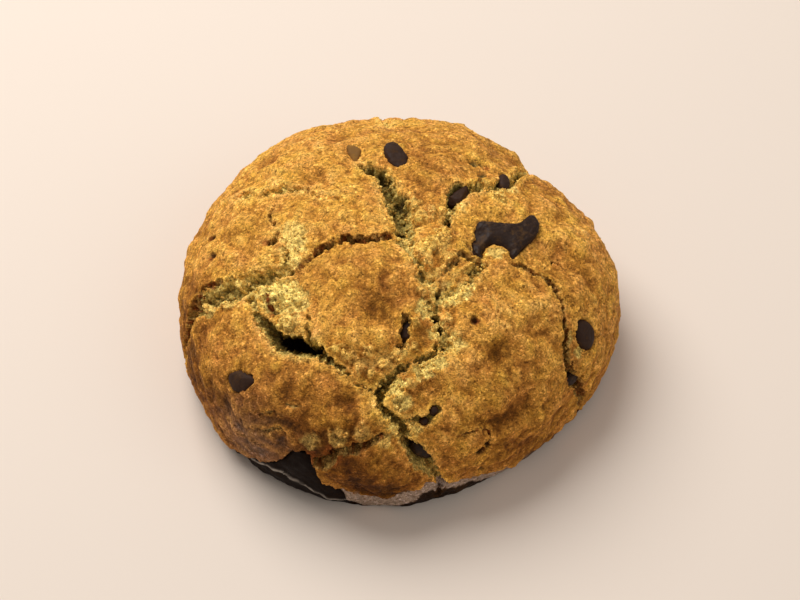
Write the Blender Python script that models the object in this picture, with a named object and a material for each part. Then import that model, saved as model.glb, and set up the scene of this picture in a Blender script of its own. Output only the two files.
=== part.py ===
# A tall home-baked chocolate chip cookie: a domed dough body, split into plates by deep
# cracks, and the pieces of chocolate that show in it. Metres, +Z up. The origin is on
# the table under the middle. A place on the cookie is a bearing and a fall, in degrees:
# bearing 0 is +X and 90 is +Y; fall is 0 at the top, 90 at the widest level and 120 at
# the edge of the flat base.
import math

import bmesh
import bpy
import numpy as np
from mathutils import Matrix, Vector, noise

MM = 0.001

# Body of dough
GIRTH_HEIGHT = 10.0 * MM    # the widest level, above the table
DOME_RISE = 24.0 * MM       # from the widest level up to the top
SHOULDER = 0.88             # below 1 fills out the shoulder sideways
FLATTOP = 0.90              # below 1 fills out the shoulder upwards
TUCK = 0.06                 # share of the radius by which the wall tucks in at the base
BASE_FALL = 120.0
BASE_SPARE = 1.0 * MM       # dough below the table level, sliced off to leave the flat base
RIM_RADII = [r * MM for r in (43.3, 42.0, 40.2, 42.6, 42.6, 44.2, 44.2, 43.3,
                              43.4, 43.8, 44.3, 44.2, 42.6, 40.8, 40.6, 42.2)]
RIM_STEP = 360.0 / len(RIM_RADII)

# Uneven surface
LUMP_SIZE = 9.0 * MM
LUMP_HEIGHT = 0.55 * MM
ROLL_REACH = 3.6 * MM       # the plates roll over towards a crack from this far out
ROLL_SHARE = 0.16           # of the crack's depth
STEP_REACH = 9.0 * MM       # how far a plate that stands above its neighbour slopes back
ROUTE_STEP = 0.6 * MM

# Facets: a fine ball is shaped, then thinned out where the surface is plain
BALL_LEVEL = 7
KEPT_SHARE = 0.068

# Chocolate
SOCKET_GAP = 0.3 * MM       # all round each piece of chocolate, in the dough
CHIP_SIDES = 10
MELT_RINGS, MELT_SIDES = 18, 8

# Plates that stand a little proud: bearing, fall, radius and lift (mm), and how abruptly
# they end (2 is a soft bulge, 8 a lid with an edge)
PLATES = [
    (136, 44, 17, 1.2, 2), (172, 20, 11, 1.0, 2), (184, 50, 12, 0.9, 2), (62, 26, 13, 0.9, 2),
    (250, 19, 15, 1.3, 8), (322, 11, 7, 0.8, 3), (324, 36, 12, 0.9, 2), (303, 52, 14, 0.7, 2),
    (0, 56, 12, 0.9, 2), (216, 62, 14, 1.0, 2), (248, 56, 11, 0.9, 2), (264, 82, 8, 1.0, 2),
    (298, 84, 11, 0.5, 2), (218, 35, 5, 0.5, 2), (20, 17, 6, 0.7, 2), (94, 62, 10, 0.3, 2),
    (50, 62, 9, -1.6, 2), (322, 90, 8, -0.8, 2),
]

# Cracks. Each point: bearing, fall, width (mm), depth (mm). "step" lifts the plate on the
# left of the route by that much (mm), or on its right if negative.
CRACKS = {
    "north": dict(step=0.0, route=[
        (111, 20, 1.4, 2.0), (108, 14, 2.8, 3.2), (106, 7, 3.6, 3.8), (84, 2, 3.6, 3.6),
        (300, 3, 2.4, 2.4)]),
    "lid": dict(step=1.2, route=[
        (206, 24, 1.2, 1.0), (202, 20, 1.6, 1.8), (199, 16, 2.0, 2.4), (200, 11, 2.4, 3.0),
        (212, 6, 2.2, 2.8), (262, 3, 1.8, 2.0)]),
    "west": dict(step=0.0, route=[
        (197, 98, 1.6, 0.8), (196, 78, 2.6, 2.4), (195, 64, 3.8, 3.4), (194, 57, 5.2, 3.4),
        (196, 48, 6.2, 3.2), (200, 40, 5.4, 3.0), (201, 33, 3.6, 3.0), (206, 24, 1.8, 1.8)]),
    "rift": dict(step=0.0, route=[
        (204, 43, 2.0, 2.4), (212, 44, 2.6, 4.2), (220, 44, 3.2, 6.4), (229, 43, 4.0, 8.0),
        (236, 41, 4.0, 8.0), (242, 41, 3.0, 5.6), (254, 45, 2.2, 3.4), (264, 49, 2.4, 3.0)]),
    "spine": dict(step=0.0, route=[
        (329, 22, 2.6, 2.4), (313, 22, 4.2, 2.0), (296, 22, 4.0, 2.0), (287, 28, 3.4, 2.4),
        (286, 36, 3.4, 2.8), (278, 38, 3.0, 3.0), (270, 40, 2.8, 3.6), (265, 46, 3.0, 5.0),
        (267, 54, 3.2, 4.4), (271, 62, 3.4, 3.8), (273, 69, 3.4, 4.0), (277, 76, 4.0, 5.2),
        (280, 82, 3.8, 4.2), (282, 90, 2.2, 1.8), (280, 101, 1.6, 1.2)]),
    "spur": dict(step=0.0, route=[(270, 58, 2.4, 3.0), (280, 58, 2.0, 1.6)]),
    "east": dict(step=0.0, route=[
        (342, 29, 1.4, 1.2), (342, 34, 2.0, 1.8), (341, 44, 1.6, 1.6), (334, 54, 2.0, 2.4),
        (328, 63, 2.8, 4.6), (324, 71, 2.8, 4.8), (324, 82, 3.2, 3.6), (326, 93, 2.6, 2.2),
        (327, 106, 1.6, 0.8)]),
    "northeast": dict(step=0.5, route=[
        (330, 6, 1.6, 1.4), (10, 10, 2.2, 2.4), (27, 12, 3.2, 3.2), (37, 17, 4.0, 3.6),
        (38, 23, 3.6, 2.8), (33, 28, 3.2, 2.2), (34, 36, 3.4, 2.6), (37, 46, 3.0, 2.6),
        (41, 58, 2.4, 2.2), (42, 74, 1.6, 0.8)]),
    "middle": dict(step=0.0, route=[
        (257, 3, 2.6, 1.8), (280, 6, 3.6, 1.6), (291, 12, 4.0, 1.6), (292, 20, 4.0, 1.8)]),
    "knuckle": dict(step=0.0, route=[(8, 10, 1.6, 1.4), (344, 14, 1.6, 1.2), (331, 21, 1.8, 1.6)]),
    "northwest": dict(step=0.4, route=[
        (160, 64, 1.6, 0.8), (155, 46, 2.0, 1.2), (152, 30, 2.0, 1.5), (150, 18, 1.6, 1.0)]),
    "ledge": dict(step=0.9, route=[
        (268, 62, 2.4, 2.4), (262, 69, 3.2, 3.2), (255, 75, 3.8, 4.0), (249, 81, 3.4, 3.2)]),
    "hollow": dict(step=0.0, route=[(269, 23, 2.6, 2.6), (274, 32, 3.0, 3.2)]),
    "top notch": dict(step=0.0, route=[(94, 46, 1.4, 0.6), (95, 58, 2.0, 1.5), (96, 72, 1.6, 0.6)]),
}

# Whole chips, like a drop with a flat foot. "heading" is where the tip points, as a
# bearing in plan; "stand" turns the tip up out of the surface (90) or down into it (-90);
# "proud" is how far the piece reaches above the surface. Sizes in mm.
CHIPS = {
    "chip_north": dict(at=(92, 23), heading=300, stand=-15, width=5.2, length=6.8, proud=0.7),
    "chip_east": dict(at=(337, 66), heading=165, stand=-4, width=6.4, length=6.6, proud=0.9),
    "chip_west": dict(at=(222, 65), heading=178, stand=0, width=4.8, length=6.8, proud=0.8),
    "chip_wedge": dict(at=(114, 28), heading=268, stand=-6, width=4.4, length=5.2, proud=0.35),
    "chip_notch": dict(at=(37, 37), heading=112, stand=8, width=3.6, length=4.6, proud=0.2),
    "chip_hollow": dict(at=(272, 28), heading=78, stand=-10, width=3.4, length=5.2, proud=-1.0),
    "chip_foot": dict(at=(277, 76), heading=130, stand=0, width=3.8, length=5.0, proud=-1.6),
    "chip_spur_left": dict(at=(274, 61), heading=200, stand=-30, width=2.6, length=2.8, proud=-0.5),
    "chip_spur_right": dict(at=(280, 57), heading=60, stand=-30, width=2.4, length=2.6, proud=-0.3),
}

# Broken pieces: length along the heading, width across it and height (mm), and a bend
PIECES = {
    "chunk_bar": dict(at=(353, 25), heading=10, length=13.2, width=8.6, height=4.8, proud=0.9, dish=2.2),
    "chip_crack_northeast": dict(at=(38, 18), heading=28, length=5.2, width=3.4, height=3.4,
                                 proud=-0.5, dish=0.0),
    "chip_crack_east": dict(at=(327, 80), heading=80, length=4.8, width=3.2, height=3.4,
                            proud=-0.7, dish=0.0),
}

# Chocolate that melted out at the front left and set along the edge of the base
MELT_START, MELT_END = 213.0, 267.0     # bearings of its two thin ends
MELT_FOOT = 113.0           # fall of its lower edge
MELT_BAND = 14.0            # height of the band, in degrees of fall
MELT_HEAD = dict(bearing=250.0, spread=6.0, reach=14.0)    # the tongue that reaches up the wall
MELT_MIDDLE = -0.5 * MM     # its middle lies this far out of the plain form
MELT_HALF = 1.1 * MM        # half its thickness
MELT_LIFT = 0.3 * MM        # kept clear of the table


def surface(bearing, fall):
    """Point of the plain form, without bulges and cracks; takes numbers or arrays."""
    bearing = np.asarray(bearing, float)
    fall = np.asarray(fall, float)
    place = (bearing / RIM_STEP) % len(RIM_RADII)
    first = np.floor(place).astype(int)
    part = place - first
    radii = np.array(RIM_RADII)
    before, start, end, after = (radii[(first + k) % len(radii)] for k in (-1, 0, 1, 2))
    rim = 0.5 * (2 * start + (end - before) * part
                 + (2 * before - 5 * start + 4 * end - after) * part ** 2
                 + (3 * start - before - 3 * end + after) * part ** 3)
    upper = np.radians(np.clip(fall, 0.0, 90.0))
    lower = np.radians(np.clip((fall - 90.0) / (BASE_FALL - 90.0), 0.0, 1.0) * 90.0)
    under = np.clip((180.0 - fall) / (180.0 - BASE_FALL), 0.0, 1.0)
    out = rim * np.sin(upper) ** SHOULDER * (1 - TUCK + TUCK * np.cos(lower)) * under
    up = (GIRTH_HEIGHT * (1 - np.sin(lower)) + DOME_RISE * np.clip(np.cos(upper), 0, 1) ** FLATTOP
          - BASE_SPARE * np.clip((fall - 110.0) / 10.0, 0.0, 1.0))
    angle = np.radians(bearing)
    return np.stack([out * np.cos(angle), out * np.sin(angle), up], axis=-1)


def outward(bearing, fall):
    """Unit normal of the plain form at one place."""
    east, north = fall * math.cos(math.radians(bearing)), fall * math.sin(math.radians(bearing))

    def chart(x, y):
        return surface(math.degrees(math.atan2(y, x)), math.hypot(x, y))

    along = chart(east + 0.5, north) - chart(east - 0.5, north)
    across = chart(east, north + 0.5) - chart(east, north - 0.5)
    normal = np.cross(along, across)
    return normal / np.linalg.norm(normal)


def smooth_route(points):
    """Route through the given rows as a smooth curve: places, widths and depths."""
    rows = np.array(points, float)
    angle = np.radians(rows[:, 0])
    rows = np.column_stack([rows[:, 1] * np.cos(angle), rows[:, 1] * np.sin(angle), rows[:, 2:]])
    ends = np.vstack([2 * rows[0] - rows[1], rows, 2 * rows[-1] - rows[-2]])
    smooth = []
    for before, start, end, after in zip(ends, ends[1:], ends[2:], ends[3:]):
        for part in np.arange(0, 1, 0.125):
            smooth.append(0.5 * (2 * start + (end - before) * part
                                 + (2 * before - 5 * start + 4 * end - after) * part ** 2
                                 + (3 * start - before - 3 * end + after) * part ** 3))
    smooth.append(rows[-1])
    smooth = np.array(smooth)
    places = surface(np.degrees(np.arctan2(smooth[:, 1], smooth[:, 0])), np.hypot(smooth[:, 0], smooth[:, 1]))
    return places, smooth[:, 2] * MM, smooth[:, 3] * MM


def nearest_on_route(points, route):
    """Distance of each point to a route, and the stretch and share where it is nearest."""
    best = np.full(len(points), np.inf)
    stretch = np.zeros(len(points), int)
    share = np.zeros(len(points))
    for number, (start, end) in enumerate(zip(route, route[1:])):
        run = end - start
        part = np.clip((points - start) @ run / max(run @ run, 1e-12), 0.0, 1.0)
        gap = np.linalg.norm(points - start - part[:, None] * run, axis=1)
        closer = gap < best
        best[closer], stretch[closer], share[closer] = gap[closer], number, part[closer]
    return best, stretch, share


def crack_relief(points, normals, crack):
    """How deep one crack cuts at each point, and how far its step lifts it."""
    route, widths, depths = smooth_route(crack["route"])
    gap, stretch, share = nearest_on_route(points, route)
    width = widths[stretch] + (widths[stretch + 1] - widths[stretch]) * share
    depth = depths[stretch] + (depths[stretch + 1] - depths[stretch]) * share
    wall = np.clip(1 - gap / (width * 0.62), 0.0, 1.0)
    roll = ROLL_SHARE * np.exp(-(gap / ROLL_REACH) ** 2)
    cut = depth * ((1 - ROLL_SHARE) * wall ** 0.85 + roll)
    run = route[stretch + 1] - route[stretch]
    side = np.sign(np.einsum("ij,ij->i", np.cross(run, points - route[stretch]), normals))
    ends = np.where(((stretch == 0) & (share == 0)) | ((stretch == len(route) - 2) & (share == 1)), 0.0, 1.0)
    lift = np.clip(side * np.sign(crack["step"]), 0, 1) * abs(crack["step"]) * MM * np.exp(-gap / STEP_REACH) * ends
    return cut, lift


def bulges(points):
    """Rise of the plates and lumps over points of the plain form."""
    rise = LUMP_HEIGHT * np.array([noise.fractal(Vector(p) / LUMP_SIZE, 1.0, 2.0, 3) for p in points])
    for bearing, fall, radius, lift, edge in PLATES:
        gap = np.linalg.norm(points - surface(bearing, fall), axis=1)
        rise += lift * MM * np.exp(-(gap / (0.75 * radius * MM)) ** edge)
    return rise


def shape_dough(points, normals, fall):
    """Bulges and cracks on points of the plain form."""
    rise = bulges(points)
    cut = np.zeros(len(points))
    for crack in CRACKS.values():
        crack_cut, crack_lift = crack_relief(points, normals, crack)
        cut = np.maximum(cut, crack_cut)
        rise += crack_lift
    calm = np.clip((BASE_FALL - fall) / 12.0, 0.0, 1.0)
    return points + normals * ((rise - cut) * calm)[:, None]


def material(name, colour, roughness):
    """A plain Principled finish."""
    made = bpy.data.materials.new(name)
    made.use_nodes = True
    shader = made.node_tree.nodes["Principled BSDF"]
    shader.inputs["Base Color"].default_value = (*colour, 1.0)
    shader.inputs["Roughness"].default_value = roughness
    shader.inputs["Metallic"].default_value = 0.0
    return made


def add_object(name, mesh, finish=None):
    """Object of this name in the scene, shaded smooth."""
    made = bpy.data.objects.new(name, mesh)
    bpy.context.collection.objects.link(made)
    mesh.shade_smooth()
    if finish:
        mesh.materials.append(finish)
    return made


def mesh_from(name, build):
    """Mesh made by the given function on a new bmesh."""
    made = bmesh.new()
    build(made)
    bmesh.ops.recalc_face_normals(made, faces=made.faces)
    mesh = bpy.data.meshes.new(name)
    made.to_mesh(mesh)
    made.free()
    return mesh


def dough_mesh():
    """The whole body of dough, from a fine ball moved onto the form."""
    mesh = mesh_from("dough", lambda ball: bmesh.ops.create_icosphere(
        ball, subdivisions=BALL_LEVEL, radius=1.0))
    points = np.empty(len(mesh.vertices) * 3, np.float32)
    mesh.vertices.foreach_get("co", points)
    points = points.reshape(-1, 3).astype(float)
    bearing = np.degrees(np.arctan2(points[:, 1], points[:, 0]))
    fall = np.degrees(np.arctan2(np.hypot(points[:, 0], points[:, 1]), points[:, 2]))
    points = surface(bearing, fall)
    mesh.vertices.foreach_set("co", points.ravel())
    mesh.update()
    normals = np.empty(len(mesh.vertices) * 3, np.float32)
    mesh.vertices.foreach_get("normal", normals)
    points = shape_dough(points, normals.reshape(-1, 3).astype(float), fall)
    mesh.vertices.foreach_set("co", points.ravel())
    mesh.update()
    return mesh


def seat_matrix(at, heading, proud, above):
    """Frame on the surface: X along the heading, Z outwards, the top of a piece proud."""
    normal = Vector(outward(*at))
    ahead = Vector((math.cos(math.radians(heading)), math.sin(math.radians(heading)), 0.0))
    ahead = (ahead - normal * ahead.dot(normal)).normalized()
    place = Vector(surface(*at)) + normal * (bulges(surface(*at)[None])[0] + proud * MM - above)
    turn = Matrix((ahead, normal.cross(ahead), normal)).transposed().to_4x4()
    return Matrix.Translation(place) @ turn


def chip_mesh(name, width, length, stand, grow):
    """A drop: flat foot, full belly, drawn-out tip along X; grown all round by grow."""
    radius, reach = width * MM / 2 + grow, length * MM / 2 + grow
    rings = [(-1.0, 0.80), (-0.72, 1.0), (-0.25, 0.97), (0.25, 0.72), (0.68, 0.38)]

    def build(made):
        loops = []
        for along, girth in rings:
            loops.append([made.verts.new((along * reach, girth * radius * math.cos(turn),
                                          girth * radius * math.sin(turn)))
                          for turn in (2 * math.pi * k / CHIP_SIDES for k in range(CHIP_SIDES))])
        foot = made.verts.new((-reach - 0.04 * radius, 0, 0))
        tip = made.verts.new((reach, 0, 0))
        for k in range(CHIP_SIDES):
            after = (k + 1) % CHIP_SIDES
            made.faces.new((loops[0][after], loops[0][k], foot))
            made.faces.new((loops[-1][k], loops[-1][after], tip))
            for lower, upper in zip(loops, loops[1:]):
                made.faces.new((lower[k], lower[after], upper[after], upper[k]))
        bmesh.ops.rotate(made, verts=made.verts, cent=(0, 0, 0),
                         matrix=Matrix.Rotation(math.radians(-stand), 3, "Y"))

    return mesh_from(name, build)


def piece_mesh(name, length, width, height, dish, grow):
    """A broken block with rounded edges; dish hollows the middle of its top."""
    half = (length * MM / 2 + grow, width * MM / 2 + grow, height * MM / 2 + grow)

    def build(made):
        bmesh.ops.create_icosphere(made, subdivisions=2, radius=1.0)
        for vert in made.verts:
            bulk = max(abs(c) for c in vert.co)
            squared = vert.co.lerp(vert.co / bulk, 0.55)
            ragged = 1 + 0.10 * noise.noise(vert.co * 1.7 + Vector((length, width, 0)))
            hollow = dish * MM * max(0.0, vert.co.z) * math.exp(
                -((vert.co.x - 0.1) / 0.5) ** 2 - ((vert.co.y + 0.25) / 0.5) ** 2)
            vert.co = Vector([s * ragged * h for s, h in zip(squared, half)])
            vert.co.z -= hollow

    return mesh_from(name, build)


def melt_mesh(name, grow):
    """The set melt: a band of lens section along the foot of the wall, with a tongue."""
    degrees_out = grow / (GIRTH_HEIGHT / (BASE_FALL - 90.0))

    def build(made):
        loops = []
        for ring in range(MELT_RINGS + 1):
            part = ring / MELT_RINGS
            bearing = MELT_START + (MELT_END - MELT_START) * part
            full = max(math.sin(math.pi * part), 0.04)
            tongue = math.exp(-((bearing - MELT_HEAD["bearing"]) / MELT_HEAD["spread"]) ** 2)
            top = MELT_FOOT - MELT_BAND * full ** 0.6 - MELT_HEAD["reach"] * tongue - degrees_out
            foot = MELT_FOOT + degrees_out
            thick = MELT_HALF * full ** 0.4 + grow
            loop = []
            for side in range(MELT_SIDES):
                turn = 2 * math.pi * (side + 0.5) / MELT_SIDES
                fall = (top + foot) / 2 + (foot - top) / 2 * math.cos(turn)
                place = Vector(surface(bearing, fall))
                place += Vector(outward(bearing, fall)) * (MELT_MIDDLE + thick * math.sin(turn))
                place.z = max(place.z, MELT_LIFT - grow)
                loop.append(made.verts.new(place))
            loops.append(loop)
        for before, after in zip(loops, loops[1:]):
            for side in range(MELT_SIDES):
                beyond = (side + 1) % MELT_SIDES
                made.faces.new((before[side], before[beyond], after[beyond], after[side]))
        made.faces.new(reversed(loops[0]))
        made.faces.new(loops[-1])

    return mesh_from(name, build)


def set_chocolate(finish):
    """Every chip and broken piece, each with the hidden shape that hollows its socket."""
    sockets = []
    for name, chip in CHIPS.items():
        slant = math.radians(abs(chip["stand"]))
        above = max(chip["width"] / 2 * math.cos(slant), chip["length"] / 2 * math.sin(slant)) * MM
        seat = seat_matrix(chip["at"], chip["heading"], chip["proud"], above)
        for label, grow in ((name, 0.0), (name + "_socket", SOCKET_GAP)):
            mesh = chip_mesh(label, chip["width"], chip["length"], chip["stand"], grow)
            sockets.append(add_object(label, mesh, finish if grow == 0 else None))
            sockets[-1].matrix_world = seat
    for name, piece in PIECES.items():
        seat = seat_matrix(piece["at"], piece["heading"], piece["proud"], piece["height"] * MM / 2)
        for label, grow in ((name, 0.0), (name + "_socket", SOCKET_GAP)):
            mesh = piece_mesh(label, piece["length"], piece["width"], piece["height"], piece["dish"], grow)
            sockets.append(add_object(label, mesh, finish if grow == 0 else None))
            sockets[-1].matrix_world = seat
    add_object("chocolate_melt", melt_mesh("chocolate_melt", 0.0), finish)
    sockets.append(add_object("chocolate_melt_socket", melt_mesh("chocolate_melt_socket", SOCKET_GAP)))
    return [made for made in sockets if made.name.endswith("_socket")]


def hide(made):
    """Leave a shape that only cuts out of the model."""
    made.hide_render = True
    made.display_type = "WIRE"


def cut_from(body, cutter):
    """Take one closed shape out of another."""
    hide(cutter)
    boolean = body.modifiers.new(cutter.name, "BOOLEAN")
    boolean.operation = "DIFFERENCE"
    boolean.solver = "EXACT"
    boolean.object = cutter


def main():
    for old in list(bpy.data.objects):
        bpy.data.objects.remove(old)
    dough = add_object("dough", dough_mesh(), material("baked_dough", (0.50, 0.26, 0.07), 0.75))
    thin = dough.modifiers.new("thin", "DECIMATE")
    thin.ratio = KEPT_SHARE
    table = add_object("table_level", mesh_from("table_level", lambda box: bmesh.ops.create_cube(
        box, size=1.0, matrix=Matrix.Translation((0, 0, -0.02)) @ Matrix.Diagonal((0.2, 0.2, 0.04, 1)))))
    cut_from(dough, table)
    for socket in set_chocolate(material("dark_chocolate", (0.035, 0.018, 0.011), 0.35)):
        cut_from(dough, socket)


main()
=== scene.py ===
# Looks of a tall home-baked chocolate chip cookie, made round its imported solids.
# A place on the cookie is a bearing and a fall in degrees: bearing 0 is +X and 90 is +Y,
# fall is 0 at the top, 90 at the widest level and 120 at the edge of the base.
import math

import bpy
import numpy as np
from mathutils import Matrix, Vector, noise
from mathutils.bvhtree import BVHTree


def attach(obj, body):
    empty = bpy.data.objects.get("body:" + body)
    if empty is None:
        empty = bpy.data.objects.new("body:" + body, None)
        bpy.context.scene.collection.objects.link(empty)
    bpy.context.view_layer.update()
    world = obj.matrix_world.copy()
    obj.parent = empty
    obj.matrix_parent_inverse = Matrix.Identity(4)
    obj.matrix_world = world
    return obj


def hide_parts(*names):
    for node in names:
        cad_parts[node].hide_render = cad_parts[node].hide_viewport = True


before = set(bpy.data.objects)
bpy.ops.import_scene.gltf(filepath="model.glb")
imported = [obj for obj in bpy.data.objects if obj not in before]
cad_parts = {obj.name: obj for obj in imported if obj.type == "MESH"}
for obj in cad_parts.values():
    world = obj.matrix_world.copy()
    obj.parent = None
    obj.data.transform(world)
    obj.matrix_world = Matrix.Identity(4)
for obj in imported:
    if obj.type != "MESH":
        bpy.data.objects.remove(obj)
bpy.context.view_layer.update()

mm = 0.001
print("frame loaded:", len(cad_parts), "solids")

# ---------- the form of the cookie, as in its solids ----------

form = dict(
    girthHeight=10.0 * mm,
    domeRise=24.0 * mm,
    shoulder=0.88,
    flatTop=0.90,
    tuck=0.06,
    baseFall=120.0,
    baseSpare=1.0 * mm,
    rimRadii=[r * mm for r in (43.3, 42.0, 40.2, 42.6, 42.6, 44.2, 44.2, 43.3,
                               43.4, 43.8, 44.3, 44.2, 42.6, 40.8, 40.6, 42.2)],
)


def roundTrip(values, place):  # smooth closed curve through evenly spaced values
    values = np.array(values)
    first = np.floor(place).astype(int)
    part = place - first
    before, start, end, after = (values[(first + k) % len(values)] for k in (-1, 0, 1, 2))
    return 0.5 * (2 * start + (end - before) * part
                  + (2 * before - 5 * start + 4 * end - after) * part ** 2
                  + (3 * start - before - 3 * end + after) * part ** 3)


def surface(bearing, fall):  # point of the plain form, for numbers or arrays
    bearing = np.asarray(bearing, float)
    fall = np.asarray(fall, float)
    rim = roundTrip(form["rimRadii"], bearing * len(form["rimRadii"]) / 360.0)
    upper = np.radians(np.clip(fall, 0.0, 90.0))
    lower = np.radians(np.clip((fall - 90.0) / (form["baseFall"] - 90.0), 0.0, 1.0) * 90.0)
    out = (rim * np.sin(upper) ** form["shoulder"]
           * (1 - form["tuck"] + form["tuck"] * np.cos(lower)))
    up = (form["girthHeight"] * (1 - np.sin(lower))
          + form["domeRise"] * np.clip(np.cos(upper), 0, 1) ** form["flatTop"]
          - form["baseSpare"] * np.clip((fall - 110.0) / 10.0, 0.0, 1.0))
    angle = np.radians(bearing)
    return np.stack([out * np.cos(angle), out * np.sin(angle), up], axis=-1)


def chartOf(bearing, fall):  # flat chart of the cookie, free of the pole at the top
    angle = np.radians(bearing)
    return np.asarray(fall) * np.cos(angle), np.asarray(fall) * np.sin(angle)


def fromChart(east, north):
    return surface(np.degrees(np.arctan2(north, east)), np.hypot(east, north))


def outward(bearing, fall):  # unit normals of the plain form
    east, north = chartOf(bearing, fall)
    along = fromChart(east + 0.5, north) - fromChart(east - 0.5, north)
    across = fromChart(east, north + 0.5) - fromChart(east, north - 0.5)
    normal = np.cross(along, across)
    return normal / np.linalg.norm(normal, axis=-1, keepdims=True)


def roughly(points, size, octaves=1, seed=0.0):  # smooth noise, about -1 to 1
    shift = Vector((seed, 1.7 * seed, -seed))
    return np.array([noise.fractal(Vector(p) / size + shift, 1.0, 2.0, octaves) for p in points])


def rubbleOf(points, size, seed=0.0):  # broken blocks, 0 to 1: each cell at its own height
    shift = Vector((seed, -seed, 2 * seed))
    heights = []
    for point in points:
        gaps, centres = noise.voronoi(Vector(point) / size + shift)
        heights.append(min(1.0, (gaps[1] - gaps[0]) * 2.4) * (0.3 + 0.7 * abs(noise.noise(centres[0] * 7.3)) ** 0.5))
    return np.array(heights)


def smooth(value, low, high):  # soft step from 0 at low to 1 at high
    share = np.clip((value - low) / (high - low), 0.0, 1.0)
    return share * share * (3 - 2 * share)


# ---------- plates, cracks and marks ----------

# Plates that stand proud: bearing, fall, radius (mm), lift (mm), edge (2 soft, 8 a lid)
plates = [
    (136, 44, 17, 1.2, 2), (172, 20, 11, 1.0, 2), (184, 50, 12, 0.9, 2), (62, 26, 13, 0.9, 2),
    (250, 19, 15, 1.3, 8), (322, 11, 7, 0.8, 3), (324, 36, 12, 0.9, 2), (303, 52, 14, 0.7, 2),
    (0, 56, 12, 0.9, 2), (216, 62, 14, 1.0, 2), (248, 56, 11, 0.9, 2), (264, 82, 8, 1.0, 2),
    (298, 84, 11, 0.5, 2), (218, 35, 5, 0.5, 2), (20, 17, 6, 0.7, 2), (94, 62, 10, 0.3, 2),
    (50, 62, 9, -1.6, 2), (322, 90, 8, -0.8, 2),
]

# Small bumps and dents that only the skin has: bearing, fall, radius (mm), lift (mm)
dents = [
    (140, 47, 3.0, -0.5), (139, 39, 2.6, -0.4), (142, 27, 3.2, -0.5), (115, 38, 2.8, -0.5), (128, 20, 3.0, 0.4),
    (174, 43, 4.0, 0.45), (188, 45, 3.0, 0.4), (136, 35, 4.0, 0.3), (181, 23, 2.8, 0.45), (194, 34, 2.2, 0.5),
    (304, 42, 3.2, 0.9), (304, 46, 2.6, -0.8), (309, 47, 2.4, -0.5), (324, 50, 3.0, -0.5), (312, 59, 3.0, -0.4),
    (295, 34, 2.6, 0.5), (292, 38, 2.2, -0.5), (288, 53, 3.2, -0.5), (298, 57, 3.5, 0.5), (320, 56, 2.4, 0.4),
    (291, 67, 2.4, -0.7), (297, 69, 2.4, -1.0), (303, 70, 2.6, -1.0), (308, 71, 2.4, -0.7), (300, 64, 3.0, 0.5),
    (352, 42, 3.6, -0.8), (4, 42, 3.2, 0.5), (344, 50, 2.6, 0.4), (330, 44, 3.0, 0.4), (318, 36, 3.0, 0.3),
    (238, 56, 2.0, -0.6), (243, 56, 1.8, -0.6), (255, 53, 2.2, -0.9), (241, 65, 2.6, -0.6), (233, 60, 2.6, 0.5),
    (252, 58, 2.6, 0.7), (258, 54, 2.2, 0.6), (262, 58, 2.0, 0.5), (246, 70, 2.2, -0.4), (228, 73, 2.6, 0.4),
    (258, 24, 3.6, -0.5), (242, 23, 3.0, 0.35), (236, 13, 3.6, 0.4), (264, 14, 3.0, -0.35), (264, 31, 2.2, 0.5),
    (250, 31, 2.4, 0.4), (230, 27, 2.6, -0.35), (70, 34, 3.0, -0.4), (78, 44, 3.5, 0.4), (60, 22, 3.0, 0.4),
    (57, 63, 5.0, 0.5), (51.5, 65.5, 2.6, 1.2), (45.5, 65, 2.4, -1.3), (19, 71, 1.8, 0.4), (14, 73, 4.0, -0.5), (50, 31, 2.0, -0.6), (254, 82, 2.6, 0.5), (262, 78, 2.4, 0.4), (260, 90, 2.6, -0.4), (288, 78, 2.6, 0.5),
    (310, 84, 3.0, 0.4), (208, 52, 2.6, 0.5), (214, 66, 3.0, 0.35), (222, 76, 2.4, -0.5), (334, 74, 2.4, 0.4),
]

# A crack's values where its own entry doesn't say otherwise. step lifts the plate on the
# left of the route (mm), toast browns the walls, the floor's shade share turns its crumb to
# the olive of painted shade, fill is the share of the depth that rubble takes up, lean slants
# the floor in plan (share of the depth), rag is how ragged the edges are (mm), and the shade
# black sets how black the painted shade at its bottom gets.
crackBase = dict(step=0.0, toast=0.0, floorShade=0.4, fill=0.35, lean=(0, 0), rag=0.5, shadeBlack=0.7)

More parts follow.
